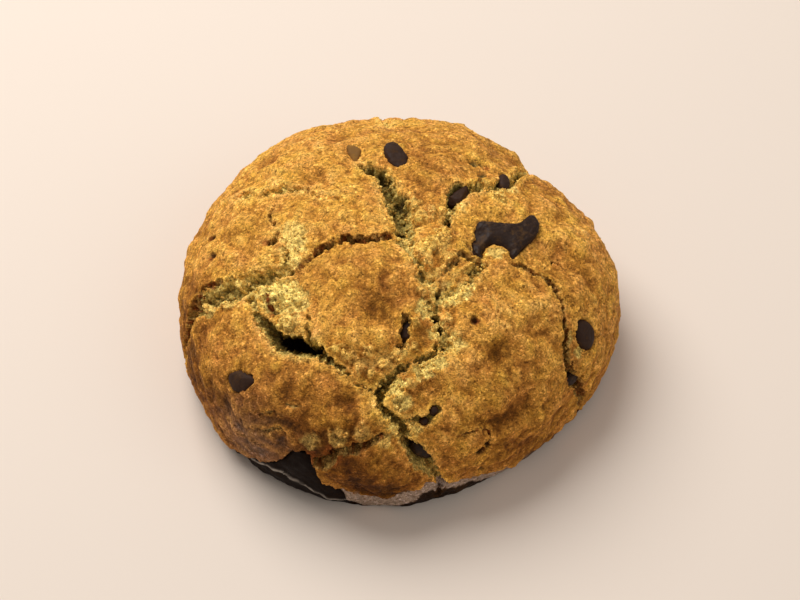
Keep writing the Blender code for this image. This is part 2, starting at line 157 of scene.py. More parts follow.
# Route points: bearing, fall, width (mm), depth (mm)
cracks = dict(
    north=dict(floorShade=1.0, fill=0.3, rag=0.6, shadeBlack=0.35, route=[
        (114, 21, 1.4, 2.2), (108, 18, 2.6, 2.6), (103, 15, 3.2, 2.6), (104, 10, 3.2, 3.0), (97, 6, 4.2, 3.4),
        (90, 3, 4.4, 2.8), (300, 2, 3.2, 1.8)]),
    lid=dict(step=1.0, toast=1.0, floorShade=0.0, lean=(0, 0.3), rag=0.5, shadeBlack=0.35, route=[
        (206, 27, 0.7, 0.5), (202, 21, 0.9, 1.0), (199, 18, 1.2, 1.6), (198, 15, 0.9, 1.3), (203, 10, 1.6, 2.2),
        (213, 7, 1.6, 2.1), (240, 3, 1.0, 1.3)]),
    west=dict(toast=0.1, floorShade=0.75, fill=0.35, lean=(0, 0.1), rag=0.5, shadeBlack=0.2, route=[
        (197, 98, 1.4, 0.8), (197, 78, 2.4, 2.4), (196, 66, 3.6, 2.6), (196, 58, 4.6, 2.8), (197, 51, 4.6, 2.6),
        (199, 44, 3.8, 2.2), (200, 36, 3.0, 2.0), (202, 30, 2.2, 1.6), (203, 26, 1.2, 0.8)]),
    westWall=dict(toast=1.0, floorShade=0.0, rag=0.3, shadeBlack=0.3, route=[
        (196, 92, 1.2, 1.2), (196, 78, 1.8, 2.6), (193, 66, 1.8, 2.8), (191, 57, 1.4, 1.8), (193, 50, 1.0, 1.4)]),
    rift=dict(floorShade=0.9, fill=0.15, lean=(-0.1, 0.3), rag=0.35, shadeBlack=1.0, route=[
        (205, 42, 1.2, 1.2), (212, 43, 1.7, 1.9), (220, 43, 2.2, 3.8), (227, 43, 2.6, 7.4), (233, 41, 3.0, 8.0),
        (238, 40, 2.8, 7.6), (243, 41, 1.5, 3.4), (251, 43, 1.0, 1.6), (257, 46, 0.9, 1.2), (264, 50, 1.2, 1.6)]),
    riftTail=dict(fill=0.1, rag=0.3, shadeBlack=1.0, route=[
        (236, 39, 2.2, 6.4), (233, 36, 1.3, 3.2), (229, 33, 0.7, 1.0)]),
    spineHigh=dict(floorShade=1.0, fill=0.6, rag=0.6, shadeBlack=0.1, route=[
        (331, 22, 2.2, 2.0), (324, 22, 2.4, 2.0), (314, 22, 2.4, 1.3), (300, 23, 2.2, 1.2), (290, 23, 2.0, 1.6),
        (288, 28, 1.6, 1.8), (289, 34, 2.4, 1.6), (287, 38, 2.2, 2.0)]),
    spine=dict(floorShade=0.5, fill=0.2, rag=0.6, shadeBlack=1.0, route=[
        (290, 36, 1.0, 1.2), (283, 38, 1.2, 2.2), (276, 39, 1.0, 2.2), (270, 41, 1.2, 3.0), (265, 46, 1.6, 4.4),
        (264, 51, 1.5, 4.4), (266, 56, 1.4, 3.8), (270, 61, 2.0, 3.4), (272, 67, 1.8, 3.4)]),
    foot=dict(floorShade=0.2, toast=0.3, fill=0.2, rag=0.4, shadeBlack=1.0, lean=(-0.1, 0.0), route=[
        (271, 66, 1.6, 2.4), (273, 70, 2.8, 4.6), (275, 76, 3.4, 5.4), (277, 81, 3.2, 4.4), (279, 87, 2.2, 2.6),
        (281, 94, 1.4, 1.4), (280, 103, 1.0, 0.8)]),
    spur=dict(floorShade=0.7, fill=0.3, rag=0.35, shadeBlack=0.7, route=[
        (268, 58, 1.2, 1.8), (273, 60, 1.2, 1.8), (277, 60, 1.6, 2.2), (281, 57, 1.2, 1.4)]),
    east=dict(toast=0.9, floorShade=0.0, fill=0.2, lean=(0.15, 0), rag=0.4, shadeBlack=0.8, route=[
        (340, 28, 0.7, 0.6), (342, 33, 1.8, 2.0), (342, 38, 0.9, 1.2), (340, 43, 1.5, 2.4), (338, 47, 0.8, 1.2),
        (333, 53, 1.1, 2.0), (328, 61, 1.6, 3.6), (325, 67, 1.6, 4.0), (325, 76, 2.2, 4.0), (327, 87, 2.4, 3.4),
        (329, 97, 1.8, 2.0), (329, 107, 1.2, 0.8)]),
    northeast=dict(step=0.5, floorShade=0.9, fill=0.35, rag=0.5, shadeBlack=0.4, lean=(0, 0.15), route=[
        (10, 10, 1.6, 2.2), (22, 12, 2.0, 2.6), (34, 15, 2.8, 3.4), (39, 19, 3.2, 3.6), (36, 23, 2.2, 2.6),
        (33, 29, 1.8, 1.6), (33, 35, 2.2, 2.0), (38, 44, 1.8, 2.2), (42, 56, 2.2, 2.4), (45, 67, 2.2, 2.0), (46, 77, 1.4, 0.8)]),
    blocks=dict(toast=0.5, floorShade=0.3, fill=0.3, rag=0.5, shadeBlack=0.4, route=[
        (350, 3, 0.9, 0.9), (14, 5, 1.1, 1.3), (20, 8, 1.0, 1.2), (14, 10, 1.0, 1.4)]),
    middle=dict(floorShade=0.9, fill=0.6, rag=0.6, shadeBlack=0.1, route=[
        (270, 3, 2.6, 1.4), (290, 6, 2.8, 1.3), (292, 11, 3.0, 1.2), (292, 17, 3.0, 1.3), (292, 22, 3.2, 1.3)]),
    underBlock=dict(toast=0.7, floorShade=0.4, fill=0.3, rag=0.5, shadeBlack=0.4, route=[
        (300, 18, 1.2, 0.8), (316, 16, 1.4, 1.2), (325, 15, 1.6, 1.6), (331, 18, 1.6, 1.8), (331, 22, 1.8, 2.2)]),
    knuckle=dict(toast=0.8, floorShade=0.0, rag=0.25, route=[
        (8, 10, 0.9, 1.2), (352, 12, 0.6, 0.7), (342, 15, 0.8, 0.9), (333, 20, 1.2, 1.4)]),
    northwest=dict(step=0.35, floorShade=0.6, fill=0.4, rag=0.55, shadeBlack=0.2, route=[
        (160, 58, 0.8, 0.6), (158, 51, 0.5, 0.3), (157, 47, 1.3, 1.3), (156, 42, 0.7, 0.6), (156, 38, 1.7, 1.6),
        (154, 34, 1.2, 1.5), (151, 29, 1.5, 1.6), (149, 26, 0.8, 0.7), (152, 22, 1.1, 1.2), (152, 18, 0.5, 0.5),
        (150, 16, 0.9, 1.0), (153, 13, 0.4, 0.4)]),
    ledge=dict(step=0.8, toast=1.0, floorShade=0.0, fill=0.3, lean=(0, 0.4), rag=0.55, shadeBlack=0.45, route=[
        (266, 64, 0.9, 1.0), (262, 68, 1.6, 2.2), (258, 70, 1.8, 2.6), (255, 72, 1.7, 2.6), (252, 76, 2.4, 3.0),
        (250, 81, 1.8, 2.4)]),
    hollow=dict(toast=0.7, floorShade=0.5, fill=0.15, rag=0.35, shadeBlack=1.0, route=[
        (272, 25, 1.0, 1.4), (273, 29, 1.7, 3.0), (270, 34, 1.5, 1.8)]),
    topNotch=dict(floorShade=0.0, rag=0.15, shadeBlack=0.0, route=[
        (94, 44, 1.0, 0.4), (95, 52, 1.6, 1.5), (96, 66, 1.6, 0.6)]),
    # finer ones, too narrow for the solids
    inner=dict(toast=0.6, rag=0.35, route=[
        (162, 32, 0.5, 0.4), (168, 33, 0.9, 1.1), (173, 32, 1.0, 1.3), (179, 29, 0.8, 1.0), (185, 31, 1.0, 1.5)]),
    patchEdge=dict(floorShade=0.8, rag=0.45, shadeBlack=0.4, route=[
        (190, 27, 0.6, 0.6), (195, 27, 0.9, 1.4), (200, 28, 0.7, 0.7), (204, 29, 1.0, 1.6)]),
    sliver=dict(step=0.4, floorShade=0.7, rag=0.15, route=[
        (26, 26, 0.9, 1.2), (22, 28, 1.0, 1.4), (18, 31, 0.6, 0.5)]),
    eastFlake=dict(step=0.35, toast=1.0, floorShade=0.0, rag=0.2, shadeBlack=0.5, route=[
        (284, 69, 0.4, 0.3), (288, 70, 0.5, 0.9), (292, 70, 0.6, 0.9), (294, 74, 0.5, 0.9), (293, 80, 0.8, 1.6)]),
    eastHair=dict(toast=0.5, floorShade=0.0, rag=0.3, route=[
        (318, 27, 0.4, 0.3), (319, 33, 0.5, 0.5), (314, 36, 0.5, 0.6), (313, 41, 0.4, 0.3)]),
    shoulderHair=dict(toast=0.6, floorShade=0.0, rag=0.3, route=[
        (346, 38, 0.5, 0.5), (352, 42, 0.8, 0.9), (350, 47, 0.4, 0.4)]),
    foldHigh=dict(step=0.5, toast=0.4, floorShade=0.0, rag=0.12, route=[
        (229, 71, 0.5, 0.3), (233, 67, 0.7, 0.8), (237, 64, 0.7, 0.7), (241, 64, 0.4, 0.3)]),
    foldLow=dict(step=0.5, toast=0.4, floorShade=0.0, rag=0.12, route=[
        (230, 78, 0.5, 0.3), (235, 74, 0.7, 0.7), (238, 71, 0.7, 0.8), (242, 72, 0.5, 0.4)]),
    foldFoot=dict(step=0.4, toast=0.3, floorShade=0.0, rag=0.12, route=[
        (224, 84, 0.5, 0.3), (230, 83, 0.7, 0.7), (235, 81, 0.7, 0.7), (238, 82, 0.5, 0.4)]),
    groove=dict(toast=0.5, floorShade=0.0, rag=0.15, route=[
        (237, 61, 0.5, 0.4), (240, 60, 0.8, 0.9), (243, 57, 0.5, 0.6), (245, 55, 0.4, 0.3)]),
    backLong=dict(step=0.3, toast=0.1, route=[
        (62, 52, 0.6, 0.3), (70, 64, 1.2, 1.2), (74, 78, 1.3, 1.1), (71, 92, 0.6, 0.3)]),
    backShort=dict(step=0.3, toast=0.2, route=[
        (130, 66, 0.6, 0.3), (121, 76, 1.3, 1.2), (123, 90, 0.7, 0.4)]),
)

# Loose blocks of crumb in and beside the cracks: bearing, fall, radius (mm), lift (mm)
crumbBlocks = [
    (306, 9, 2.6, 1.3), (320, 9, 2.2, 1.5), (318, 14, 1.8, 1.0), (340, 9, 2.4, 1.2), (300, 12, 1.5, 0.9),
    (308, 15, 1.3, 0.8), (290, 14, 1.2, 0.8), (284, 20, 1.2, 0.7), (20, 4, 1.8, 0.9), (64, 6, 1.4, 0.8),
    (24, 7, 1.6, 0.8), (213, 36, 2.2, 1.0), (224, 37, 2.2, 1.1), (207, 37, 1.8, 0.8), (219, 30, 1.6, 0.7),
    (246, 37, 1.6, 0.9), (251, 39, 1.4, 0.9), (256, 41, 1.5, 1.0), (261, 43, 1.3, 0.9), (264, 39, 1.5, 0.9),
    (268, 37, 1.3, 0.7), (258, 36, 1.4, 0.6), (271, 37, 1.2, 0.8), (276, 35, 1.2, 0.7), (278, 29, 1.3, 0.9),
    (270, 50, 1.5, 0.9), (274, 46, 1.6, 0.9), (279, 44, 1.5, 0.7), (272, 54, 1.3, 0.7), (294, 30, 1.3, 0.8),
    (254, 66, 2.4, 0.5), (260, 63, 2.2, 0.5), (247, 71, 2.2, 0.4),
    (199, 58, 1.6, 0.7), (198, 44, 1.4, 0.6), (202, 50, 1.3, 0.6), (35, 26, 1.3, 0.7),
]

# Places where the crust is torn off and pale crumb shows: bearing, fall, radius (mm), share
tornSpots = [
    (212, 34, 5.5, 1.0), (219, 31, 3.6, 0.8), (204, 36, 4.0, 0.9), (224, 37, 3.2, 0.6), (184, 25, 4.0, 0.6),
    (192, 25, 3.6, 0.8), (200, 27, 3.0, 0.8), (199, 47, 4.0, 0.7), (202, 40, 3.4, 0.8), (198, 57, 3.2, 0.6),
    (269, 47, 2.8, 1.0), (271, 52, 2.4, 0.8), (278, 42, 2.8, 0.9), (284, 41, 2.6, 0.8), (292, 37, 2.6, 0.7),
    (252, 38, 2.6, 0.2), (258, 40, 2.8, 0.3), (264, 38, 2.8, 0.3), (271, 35, 2.2, 0.4), (285, 25, 3.0, 0.9),
    (287, 32, 2.4, 0.9), (300, 23, 3.4, 0.9), (310, 24, 2.6, 0.9), (293, 16, 3.0, 0.5), (322, 10, 3.0, 0.3),
    (269, 61, 2.4, 0.8), (274, 62, 2.0, 0.6), (30, 28, 2.6, 0.6), (30, 34, 2.4, 0.6), (24, 14, 2.6, 0.5),
    (104, 12, 2.6, 0.5), (70, 4, 3.0, 0.4), (151, 27, 2.0, 0.5), (344, 23, 2.0, 0.6), (330, 68, 1.6, 0.8), (330, 60, 1.4, 0.7), (266, 66, 2.0, 0.4),
]

# Browning, and a darker tone low at the front and left: bearing, fall, radius (mm), change of tone (0 palest, 1
# darkest). The spot at bearing 258, fall 76 is painted shade under the ledge.
browning = [
    (136, 42, 20, -0.10), (175, 38, 12, 0.00), (250, 18, 8, 0.16), (262, 24, 8, 0.08), (62, 30, 14, 0.10),
    (78, 14, 8, 0.10), (318, 42, 14, 0.0), (305, 66, 12, 0.04), (240, 62, 12, 0.14), (236, 84, 13, 0.44), (258, 76, 4.0, 0.25), (246, 62, 8, 0.10),
    (264, 88, 9, 0.46), (300, 86, 13, 0.22), (193, 72, 9, 0.36), (208, 84, 10, 0.30), (338, 96, 12, 0.10),
    (338, 66, 10, 0.02), (14, 44, 10, -0.04), (350, 44, 5, 0.16), (215, 52, 8, -0.02), (304, 46, 3.0, 0.20),
    (300, 70, 4.0, 0.18), (140, 47, 3.5, 0.16), (142, 27, 3.5, 0.14), (115, 38, 3.2, 0.16), (174, 43, 5, 0.10),
    (330, 20, 3.0, 0.22), (252, 58, 4.0, 0.10), (110, 56, 18, 0.06), (30, 60, 12, 0.14), (160, 68, 14, 0.12),
]

# Dark red marks on the crust: bearing, fall, radius (mm), share
marks = [
    (210, 36.5, 0.7, 1.0), (212.5, 37.2, 0.7, 1.0), (215, 38.2, 0.7, 1.0), (217, 39.2, 0.5, 0.8),
    (173, 55, 0.9, 0.9), (182, 53, 0.9, 0.9), (184, 33, 1.0, 0.8), (45, 33, 0.8, 0.8), (197, 80, 1.8, 0.7),
    (304, 34, 0.8, 1.0), (253, 74, 2.2, 0.7), (248, 79, 1.8, 0.8), (300, 20, 0.9, 0.6), (24, 30, 0.8, 0.6),
]

# Small pits with painted shade at the bottom: bearing, fall, radius (mm), depth (mm)
pits = [
    (173, 55, 0.7, 0.7), (174, 58, 0.4, 0.4), (182, 53, 0.7, 0.7), (256, 1, 0.9, 2.4), (7, 10, 0.9, 2.2),
    (288, 28, 0.8, 1.8), (289, 31, 0.6, 1.4), (304, 34, 0.7, 0.9), (292, 83, 0.8, 1.4), (294, 81, 0.6, 1.2),
    (292, 93, 0.6, 0.9), (185, 31, 0.7, 1.4), (197, 27, 0.6, 1.2), (204, 28, 0.7, 1.4), (111, 19, 1.2, 2.0),
    (103, 17, 1.0, 1.6), (108, 14, 0.7, 1.2), (84, 7, 1.2, 1.2), (52, 32, 0.8, 0.9), (49, 33, 0.6, 0.8),
    (43, 30, 0.8, 0.7), (217, 38, 0.6, 1.0), (214, 36, 0.5, 0.7), (292, 12, 0.6, 1.0), (290, 15, 0.6, 1.0),
    (295, 21, 0.6, 0.9), (94, 42, 0.8, 0.5), (303, 25, 0.5, 0.8),
]


def spotShare(points, bearing, fall, radius, edge=2):  # 1 on a spot, fading to 0 past radius (mm)
    gap = np.linalg.norm(points - surface(bearing, fall), axis=1)
    return np.exp(-(gap / (radius * mm)) ** edge)


lumps = (9.0 * mm, 0.55 * mm)       # size and height of the solids' own unevenness


def bulgeOf(points):  # rise of plates and lumps, as in the solids
    rise = lumps[1] * roughly(points, lumps[0], 3)
    for bearing, fall, radius, lift, edge in plates:
        rise += lift * mm * spotShare(points, bearing, fall, 0.75 * radius, edge)
    return rise


def smoothRoute(points):  # a curve through the route's points, with widths and depths
    rows = np.array(points, float)
    east, north = chartOf(rows[:, 0], rows[:, 1])
    rows = np.column_stack([east, north, rows[:, 2:]])
    ends = np.vstack([2 * rows[0] - rows[1], rows, 2 * rows[-1] - rows[-2]])
    curve = []
    for before, start, end, after in zip(ends, ends[1:], ends[2:], ends[3:]):
        for part in np.arange(0, 1, 0.2):
            curve.append(0.5 * (2 * start + (end - before) * part
                                + (2 * before - 5 * start + 4 * end - after) * part ** 2
                                + (3 * start - before - 3 * end + after) * part ** 3))
    curve = np.array(curve + [rows[-1]])
    return fromChart(curve[:, 0], curve[:, 1]), curve[:, 2] * mm, curve[:, 3] * mm


crackShape = dict(
    edge=0.56,              # half the width at which the wall starts
    steepness=1.6,
    rollReach=3.6 * mm,     # the crust rolls over towards a crack from this far out
    rollShare=0.12,
    stepReach=9.0 * mm,
    reach=14.0 * mm,
)


def crackRelief(points, normals, ragged, crack):
    # cut, lift of the step, sideways slant and distance beyond the crack's edge
    route, widths, depths = smoothRoute(crack["route"])
    reach = crackShape["reach"]
    close = np.where(np.all((points > route.min(0) - reach) & (points < route.max(0) + reach), axis=1))[0]
    here, up = points[close], normals[close]
    best = np.full(len(close), np.inf)
    stretch = np.zeros(len(close), int)
    share = np.zeros(len(close))
    for number, (start, end) in enumerate(zip(route, route[1:])):
        run = end - start
        part = np.clip((here - start) @ run / max(run @ run, 1e-12), 0.0, 1.0)
        gap = np.linalg.norm(here - start - part[:, None] * run, axis=1)
        closer = gap < best
        best[closer], stretch[closer], share[closer] = gap[closer], number, part[closer]
    width = widths[stretch] + (widths[stretch + 1] - widths[stretch]) * share
    depth = depths[stretch] + (depths[stretch + 1] - depths[stretch]) * share
    side = np.sign(np.einsum("ij,ij->i", np.cross((route[1:] - route[:-1])[stretch], here - route[stretch]), up))
    torn = best + ragged[close] * crack["rag"] * mm
    half = width * crackShape["edge"]
    wall = np.clip((half - torn) / half * crackShape["steepness"], 0.0, 1.0) ** 0.8
    roll = np.exp(-(best / crackShape["rollReach"]) ** 2)
    tip = ((stretch == 0) & (share == 0)) | ((stretch == len(route) - 2) & (share == 1))
    cut, lift, beyond = np.zeros(len(points)), np.zeros(len(points)), np.full(len(points), 1.0)
    cut[close] = depth * ((1 - crackShape["rollShare"]) * wall + crackShape["rollShare"] * roll)
    lift[close] = (np.clip(side, 0, 1) * crack["step"] * mm
                   * np.exp(-best / crackShape["stepReach"]) * np.where(tip, 0.0, 1.0))
    beyond[close] = torn - half
    slant = np.zeros((len(points), 3))
    slant[:, 0], slant[:, 1] = crack["lean"]
    return cut, lift, slant * (cut * smooth(cut, 0.6 * mm, 2.0 * mm))[:, None], beyond


print("form and cracks ready")

# ---------- mesh helpers ----------


def deselectAll():
    if bpy.context.object and bpy.context.object.mode == "EDIT":
        bpy.ops.object.mode_set(mode="OBJECT")
    bpy.ops.object.select_all(action="DESELECT")


def makeActive(piece):
    deselectAll()
    piece.select_set(True)
    bpy.context.view_layer.objects.active = piece


def readPoints(mesh):
    points = np.empty(len(mesh.vertices) * 3, np.float32)
    mesh.vertices.foreach_get("co", points)
    return points.reshape(-1, 3).astype(float)


def readNormals(mesh):
    normals = np.empty(len(mesh.vertices) * 3, np.float32)
    mesh.vertices.foreach_get("normal", normals)
    return normals.reshape(-1, 3).astype(float)


def writePoints(mesh, points):
    mesh.vertices.foreach_set("co", np.asarray(points, np.float32).ravel())
    mesh.update()


def readTriangles(mesh):
    corners = np.empty(len(mesh.loops), np.int32)
    mesh.loops.foreach_get("vertex_index", corners)
    return corners.reshape(-1, 3)


def setAttribute(mesh, name, values):
    made = mesh.attributes.new(name, "FLOAT", "POINT")
    padded = np.zeros(len(mesh.vertices), np.float32)
    padded[:len(values)] = values
    made.data.foreach_set("value", padded)


def evenedOut(values, edges, rounds):  # each value drawn to the mean of its neighbours
    count = len(values)
    links = np.bincount(edges.ravel(), minlength=count).clip(1)
    values = values.copy()
    for _ in range(rounds):
        total = np.zeros_like(values)
        for axis in range(values.shape[1]):
            total[:, axis] = (np.bincount(edges[:, 0], values[edges[:, 1], axis], count)
                              + np.bincount(edges[:, 1], values[edges[:, 0], axis], count))
        values = 0.5 * values + 0.5 * total / links[:, None]
    return values


# ---------- chocolate ----------

# at: bearing and fall of the middle; turn: bearing of the long axis; outline: its corners
# along and across that axis (mm), or two radii; tall: height (mm); top: how far it stands
# above the surface (mm); lean: tilt of its top towards -Y (degrees); square: 1 is a ball's
# section, smaller is boxier; facets and bite: flat breaks.
chocolateShapes = dict(
    chip_north=dict(at=(92, 22.5), turn=296, tall=4.2, top=0.9, lean=24, square=0.55, facets=2, bite=0.08,
                    outline=[(-3.9, -0.8), (-3.5, 1.3), (-0.8, 2.0), (2.0, 2.0), (3.8, 0.9), (3.7, -1.2),
                             (1.2, -2.0), (-1.8, -2.1)]),
    chip_wedge=dict(at=(114, 27), turn=284, tall=3.0, top=0.30, lean=10, square=0.5, facets=2, bite=0.1,
                    outline=[(-3.1, -1.1), (-2.3, 0.7), (-0.4, 1.8), (1.6, 0.8), (3.4, -0.4), (0.6, -1.2)]),
    chip_notch=dict(at=(35, 34.5), turn=88, tall=3.4, top=0.25, lean=10, square=0.6, facets=3, bite=0.15,
                    outline=(2.4, 1.3)),
    chip_east=dict(at=(336, 65), turn=158, tall=5.0, top=0.45, lean=0, square=0.6, facets=2, bite=0.06,
                   outline=[(3.5, -0.4), (2.2, 1.6), (0.3, 2.9), (-1.8, 3.2), (-3.2, 1.6), (-3.1, -0.6),
                            (-1.6, -2.3), (0.4, -2.6), (2.2, -1.9)]),
    chip_west=dict(at=(224, 62.5), turn=348, tall=4.0, top=0.35, lean=6, square=0.55, facets=4, bite=0.12,
                   outline=[(-3.5, 0.2), (-2.6, 1.6), (-0.9, 2.0), (0.8, 1.8), (2.2, 2.0), (3.8, 1.2), (3.2, -0.5),
                            (2.0, -1.7), (0.0, -2.2), (-2.2, -1.9)]),
    chip_hollow=dict(at=(274, 29), turn=71, tall=3.2, top=-1.6, lean=0, square=0.7, facets=4, bite=0.15,
                     outline=(2.5, 1.5)),
    chip_foot=dict(at=(277, 76), turn=130, tall=3.4, top=-1.8, lean=0, square=0.7, facets=4, bite=0.15,
                   outline=(2.7, 1.9)),
    chip_spur_left=dict(at=(277, 61), turn=200, tall=2.2, top=-0.35, lean=0, square=0.8, facets=3, bite=0.15,
                        outline=(0.85, 0.75)),
    chip_spur_right=dict(at=(280, 57.5), turn=60, tall=2.4, top=-0.15, lean=0, square=0.9, facets=1, bite=0.1,
                         outline=(1.0, 0.95)),
    chunk_bar=dict(at=(354, 24), turn=37, tall=4.8, top=0.95, lean=4, square=0.36, facets=5, bite=0.08,
                   outline=[(-1.8, 5.9), (-0.1, 4.6), (3.3, 2.2), (5.7, 1.2), (9.0, 2.0), (8.9, -0.8), (6.0, -2.7),
                            (2.4, -3.3), (-1.9, -4.8), (-3.6, -3.2), (-5.5, -2.6), (-6.8, -1.0), (-6.9, 1.0),
                            (-4.8, 3.6)]),
    chip_crack_northeast=dict(at=(37, 18), turn=49, tall=3.6, top=-0.55, lean=0, square=0.6, facets=8, bite=0.32,
                              outline=[(-3.4, -0.6), (-2.6, 1.4), (-1.0, 1.0), (0.4, 1.9), (2.2, 1.3), (3.8, 1.6),
                                       (3.4, -0.7), (1.4, -1.0), (-0.4, -1.9), (-2.2, -1.8)]),
    chip_crack_east=dict(at=(327, 80), turn=80, tall=3.4, top=-1.0, lean=0, square=0.6, facets=8, bite=0.2,
                         outline=(2.4, 1.6)),
)

chocolate = dict(
    ballLevel=5,
    chunkLevel=6,
    scuff=0.09 * mm,
    chunkScuff=0.20 * mm,
    reveal=0.75 * mm,       # dough thinner than this over a piece has gone
    clearance=0.3 * mm,
)

# Dough lies over the chunk between its legs and on the middle of its bar: bearing and
# fall, radius (mm) and depth (mm) of each
chunkHollows = [(343, 23.4, 1.7, 3.4), (338, 26, 1.4, 3.0), (352, 17, 1.3, 1.2)]


def reachOf(turn, outline):  # how far the outline lies from its middle in each direction
    if len(outline) == 2:
        length, width = outline
        return length * width / np.hypot(width * np.cos(turn), length * np.sin(turn))
    corners = np.array(outline, float)
    for _ in range(2):
        after = np.roll(corners, -1, axis=0)
        corners = np.stack([0.8 * corners + 0.2 * after, 0.2 * corners + 0.8 * after], 1).reshape(-1, 2)
    reach = np.zeros_like(turn)
    for start, end in zip(corners, np.roll(corners, -1, axis=0)):
        side = end - start
        across = np.cos(turn) * side[1] - np.sin(turn) * side[0]
        across = np.where(np.abs(across) < 1e-9, 1e-9, across)
        away = (start[0] * side[1] - start[1] * side[0]) / across
        part = (start[0] * np.sin(turn) - start[1] * np.cos(turn)) / across
        reach = np.where((away > 0) & (part >= -1e-6) & (part <= 1 + 1e-6), np.maximum(reach, away), reach)
    return reach


def breakFlat(points, rng, count, bite):  # plane breaks, as where a block has snapped
    centre = points.mean(0)
    for _ in range(count):
        normal = rng.normal(size=3)
        normal /= np.linalg.norm(normal)
        height = (points - centre) @ normal
        limit = height.max() * (1 - bite * rng.uniform(0.5, 1.0))
        points = points - normal * (np.clip(height - limit, 0, None) * 0.92)[:, None]
    return points


def seatOf(at, turn, lean):  # centre on the surface, and axes: along, across and outward
    normal = outward(np.array([at[0]], float), np.array([at[1]], float))[0]
    angle = math.radians(lean)
    normal = normal * math.cos(angle) + np.array([0, -1.0, 0]) * math.sin(angle)
    normal /= np.linalg.norm(normal)
    ahead = np.array([math.cos(math.radians(turn)), math.sin(math.radians(turn)), 0.0])
    ahead -= normal * (ahead @ normal)
    ahead /= np.linalg.norm(ahead)
    centre = surface(*at)
    centre = centre + outward(np.array([at[0]], float), np.array([at[1]], float))[0] * bulgeOf(centre[None])[0]
    return centre, ahead, np.cross(normal, ahead), normal


def makeChip(nodeName, shape, seed):
    deselectAll()
    level = chocolate["chunkLevel"] if nodeName == "chunk_bar" else chocolate["ballLevel"]
    bpy.ops.mesh.primitive_ico_sphere_add(subdivisions=level, radius=1.0)
    piece = bpy.context.object
    piece.name = nodeName + "_fine"
    ball = readPoints(piece.data)
    girth = np.hypot(ball[:, 0], ball[:, 1])
    reach = reachOf(np.arctan2(ball[:, 1], ball[:, 0]), shape["outline"]) * mm
    spread = np.divide(girth ** shape["square"], girth, out=np.zeros_like(girth), where=girth > 1e-6) * reach
    height = shape["tall"] * mm / 2
    local = np.column_stack([ball[:, 0] * spread, ball[:, 1] * spread,
                             np.sign(ball[:, 2]) * np.abs(ball[:, 2]) ** shape["square"] * height])
    rng = np.random.default_rng(seed)
    local = breakFlat(local, rng, shape["facets"], shape["bite"])
    centre, ahead, across, normal = seatOf(shape["at"], shape["turn"], shape["lean"])
    centre = centre + normal * (shape["top"] * mm - height)
    points = centre + local[:, :1] * ahead + local[:, 1:2] * across + local[:, 2:] * normal
    if nodeName == "chunk_bar":
        for spotBearing, spotFall, radius, depth in chunkHollows:
            bowl = spotShare(points, spotBearing, spotFall, 1.5 * radius, 4) * smooth(local[:, 2], -0.5 * height, 0)
            points = points - normal * (bowl * depth * mm)[:, None]
    writePoints(piece.data, points)
    grooved = local * (0.3, 1.0, 1.0) if nodeName == "chunk_bar" else points
    scuff = roughly(grooved, 1.1 * mm, 2, seed) + 0.6 * roughly(points, 0.45 * mm, 1, seed + 3)
    scuff *= chocolate["chunkScuff"] if nodeName == "chunk_bar" else chocolate["scuff"]
    writePoints(piece.data, points + readNormals(piece.data) * scuff[:, None])
    makeActive(piece)
    bpy.ops.object.shade_smooth()
    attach(piece, "root")
    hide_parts(nodeName)
    return piece


# The lower edge of the crust, below which the side is grey-brown and, at the front left,
# set chocolate: bearing and fall
rimLine = [(0, 107), (40, 108), (90, 107), (140, 108), (190, 107), (206, 107), (220, 104), (228, 101), (233, 97),
           (238, 91), (241, 85), (243, 78), (247, 78), (249, 83), (251, 92), (256, 95), (264, 98), (270, 96),
           (276, 91), (281, 93), (288, 98), (298, 101), (306, 104), (320, 107), (360, 107)]


def rimFall(bearing):
    return np.interp(np.asarray(bearing) % 360.0, *zip(*rimLine))


# The foot of the ashy band under the front of the crust: bearing and fall
bandLine = [(250, 98), (256, 106), (261, 114), (267, 113), (272, 105), (275, 101), (278, 98), (282, 99), (286, 102),
            (290, 105), (296, 112), (320, 118)]

# Chocolate that melted out below the crust at the front left and set on the wall
melt = dict(
    start=210.0, end=259.0, foot=118.5, lap=0.6,
    middle=-1.25 * mm, half=0.95 * mm, lift=0.15 * mm,
    rings=200, sides=112,
)

# A thin ridge that runs across it, pale grey partly from dust and partly as a painted highlight: bearing and fall
ridgeLine = [(226, 104), (233, 99), (236, 96), (240, 94), (242, 96.5), (246, 97), (248, 100), (250, 101),
             (252, 103), (255, 106)]


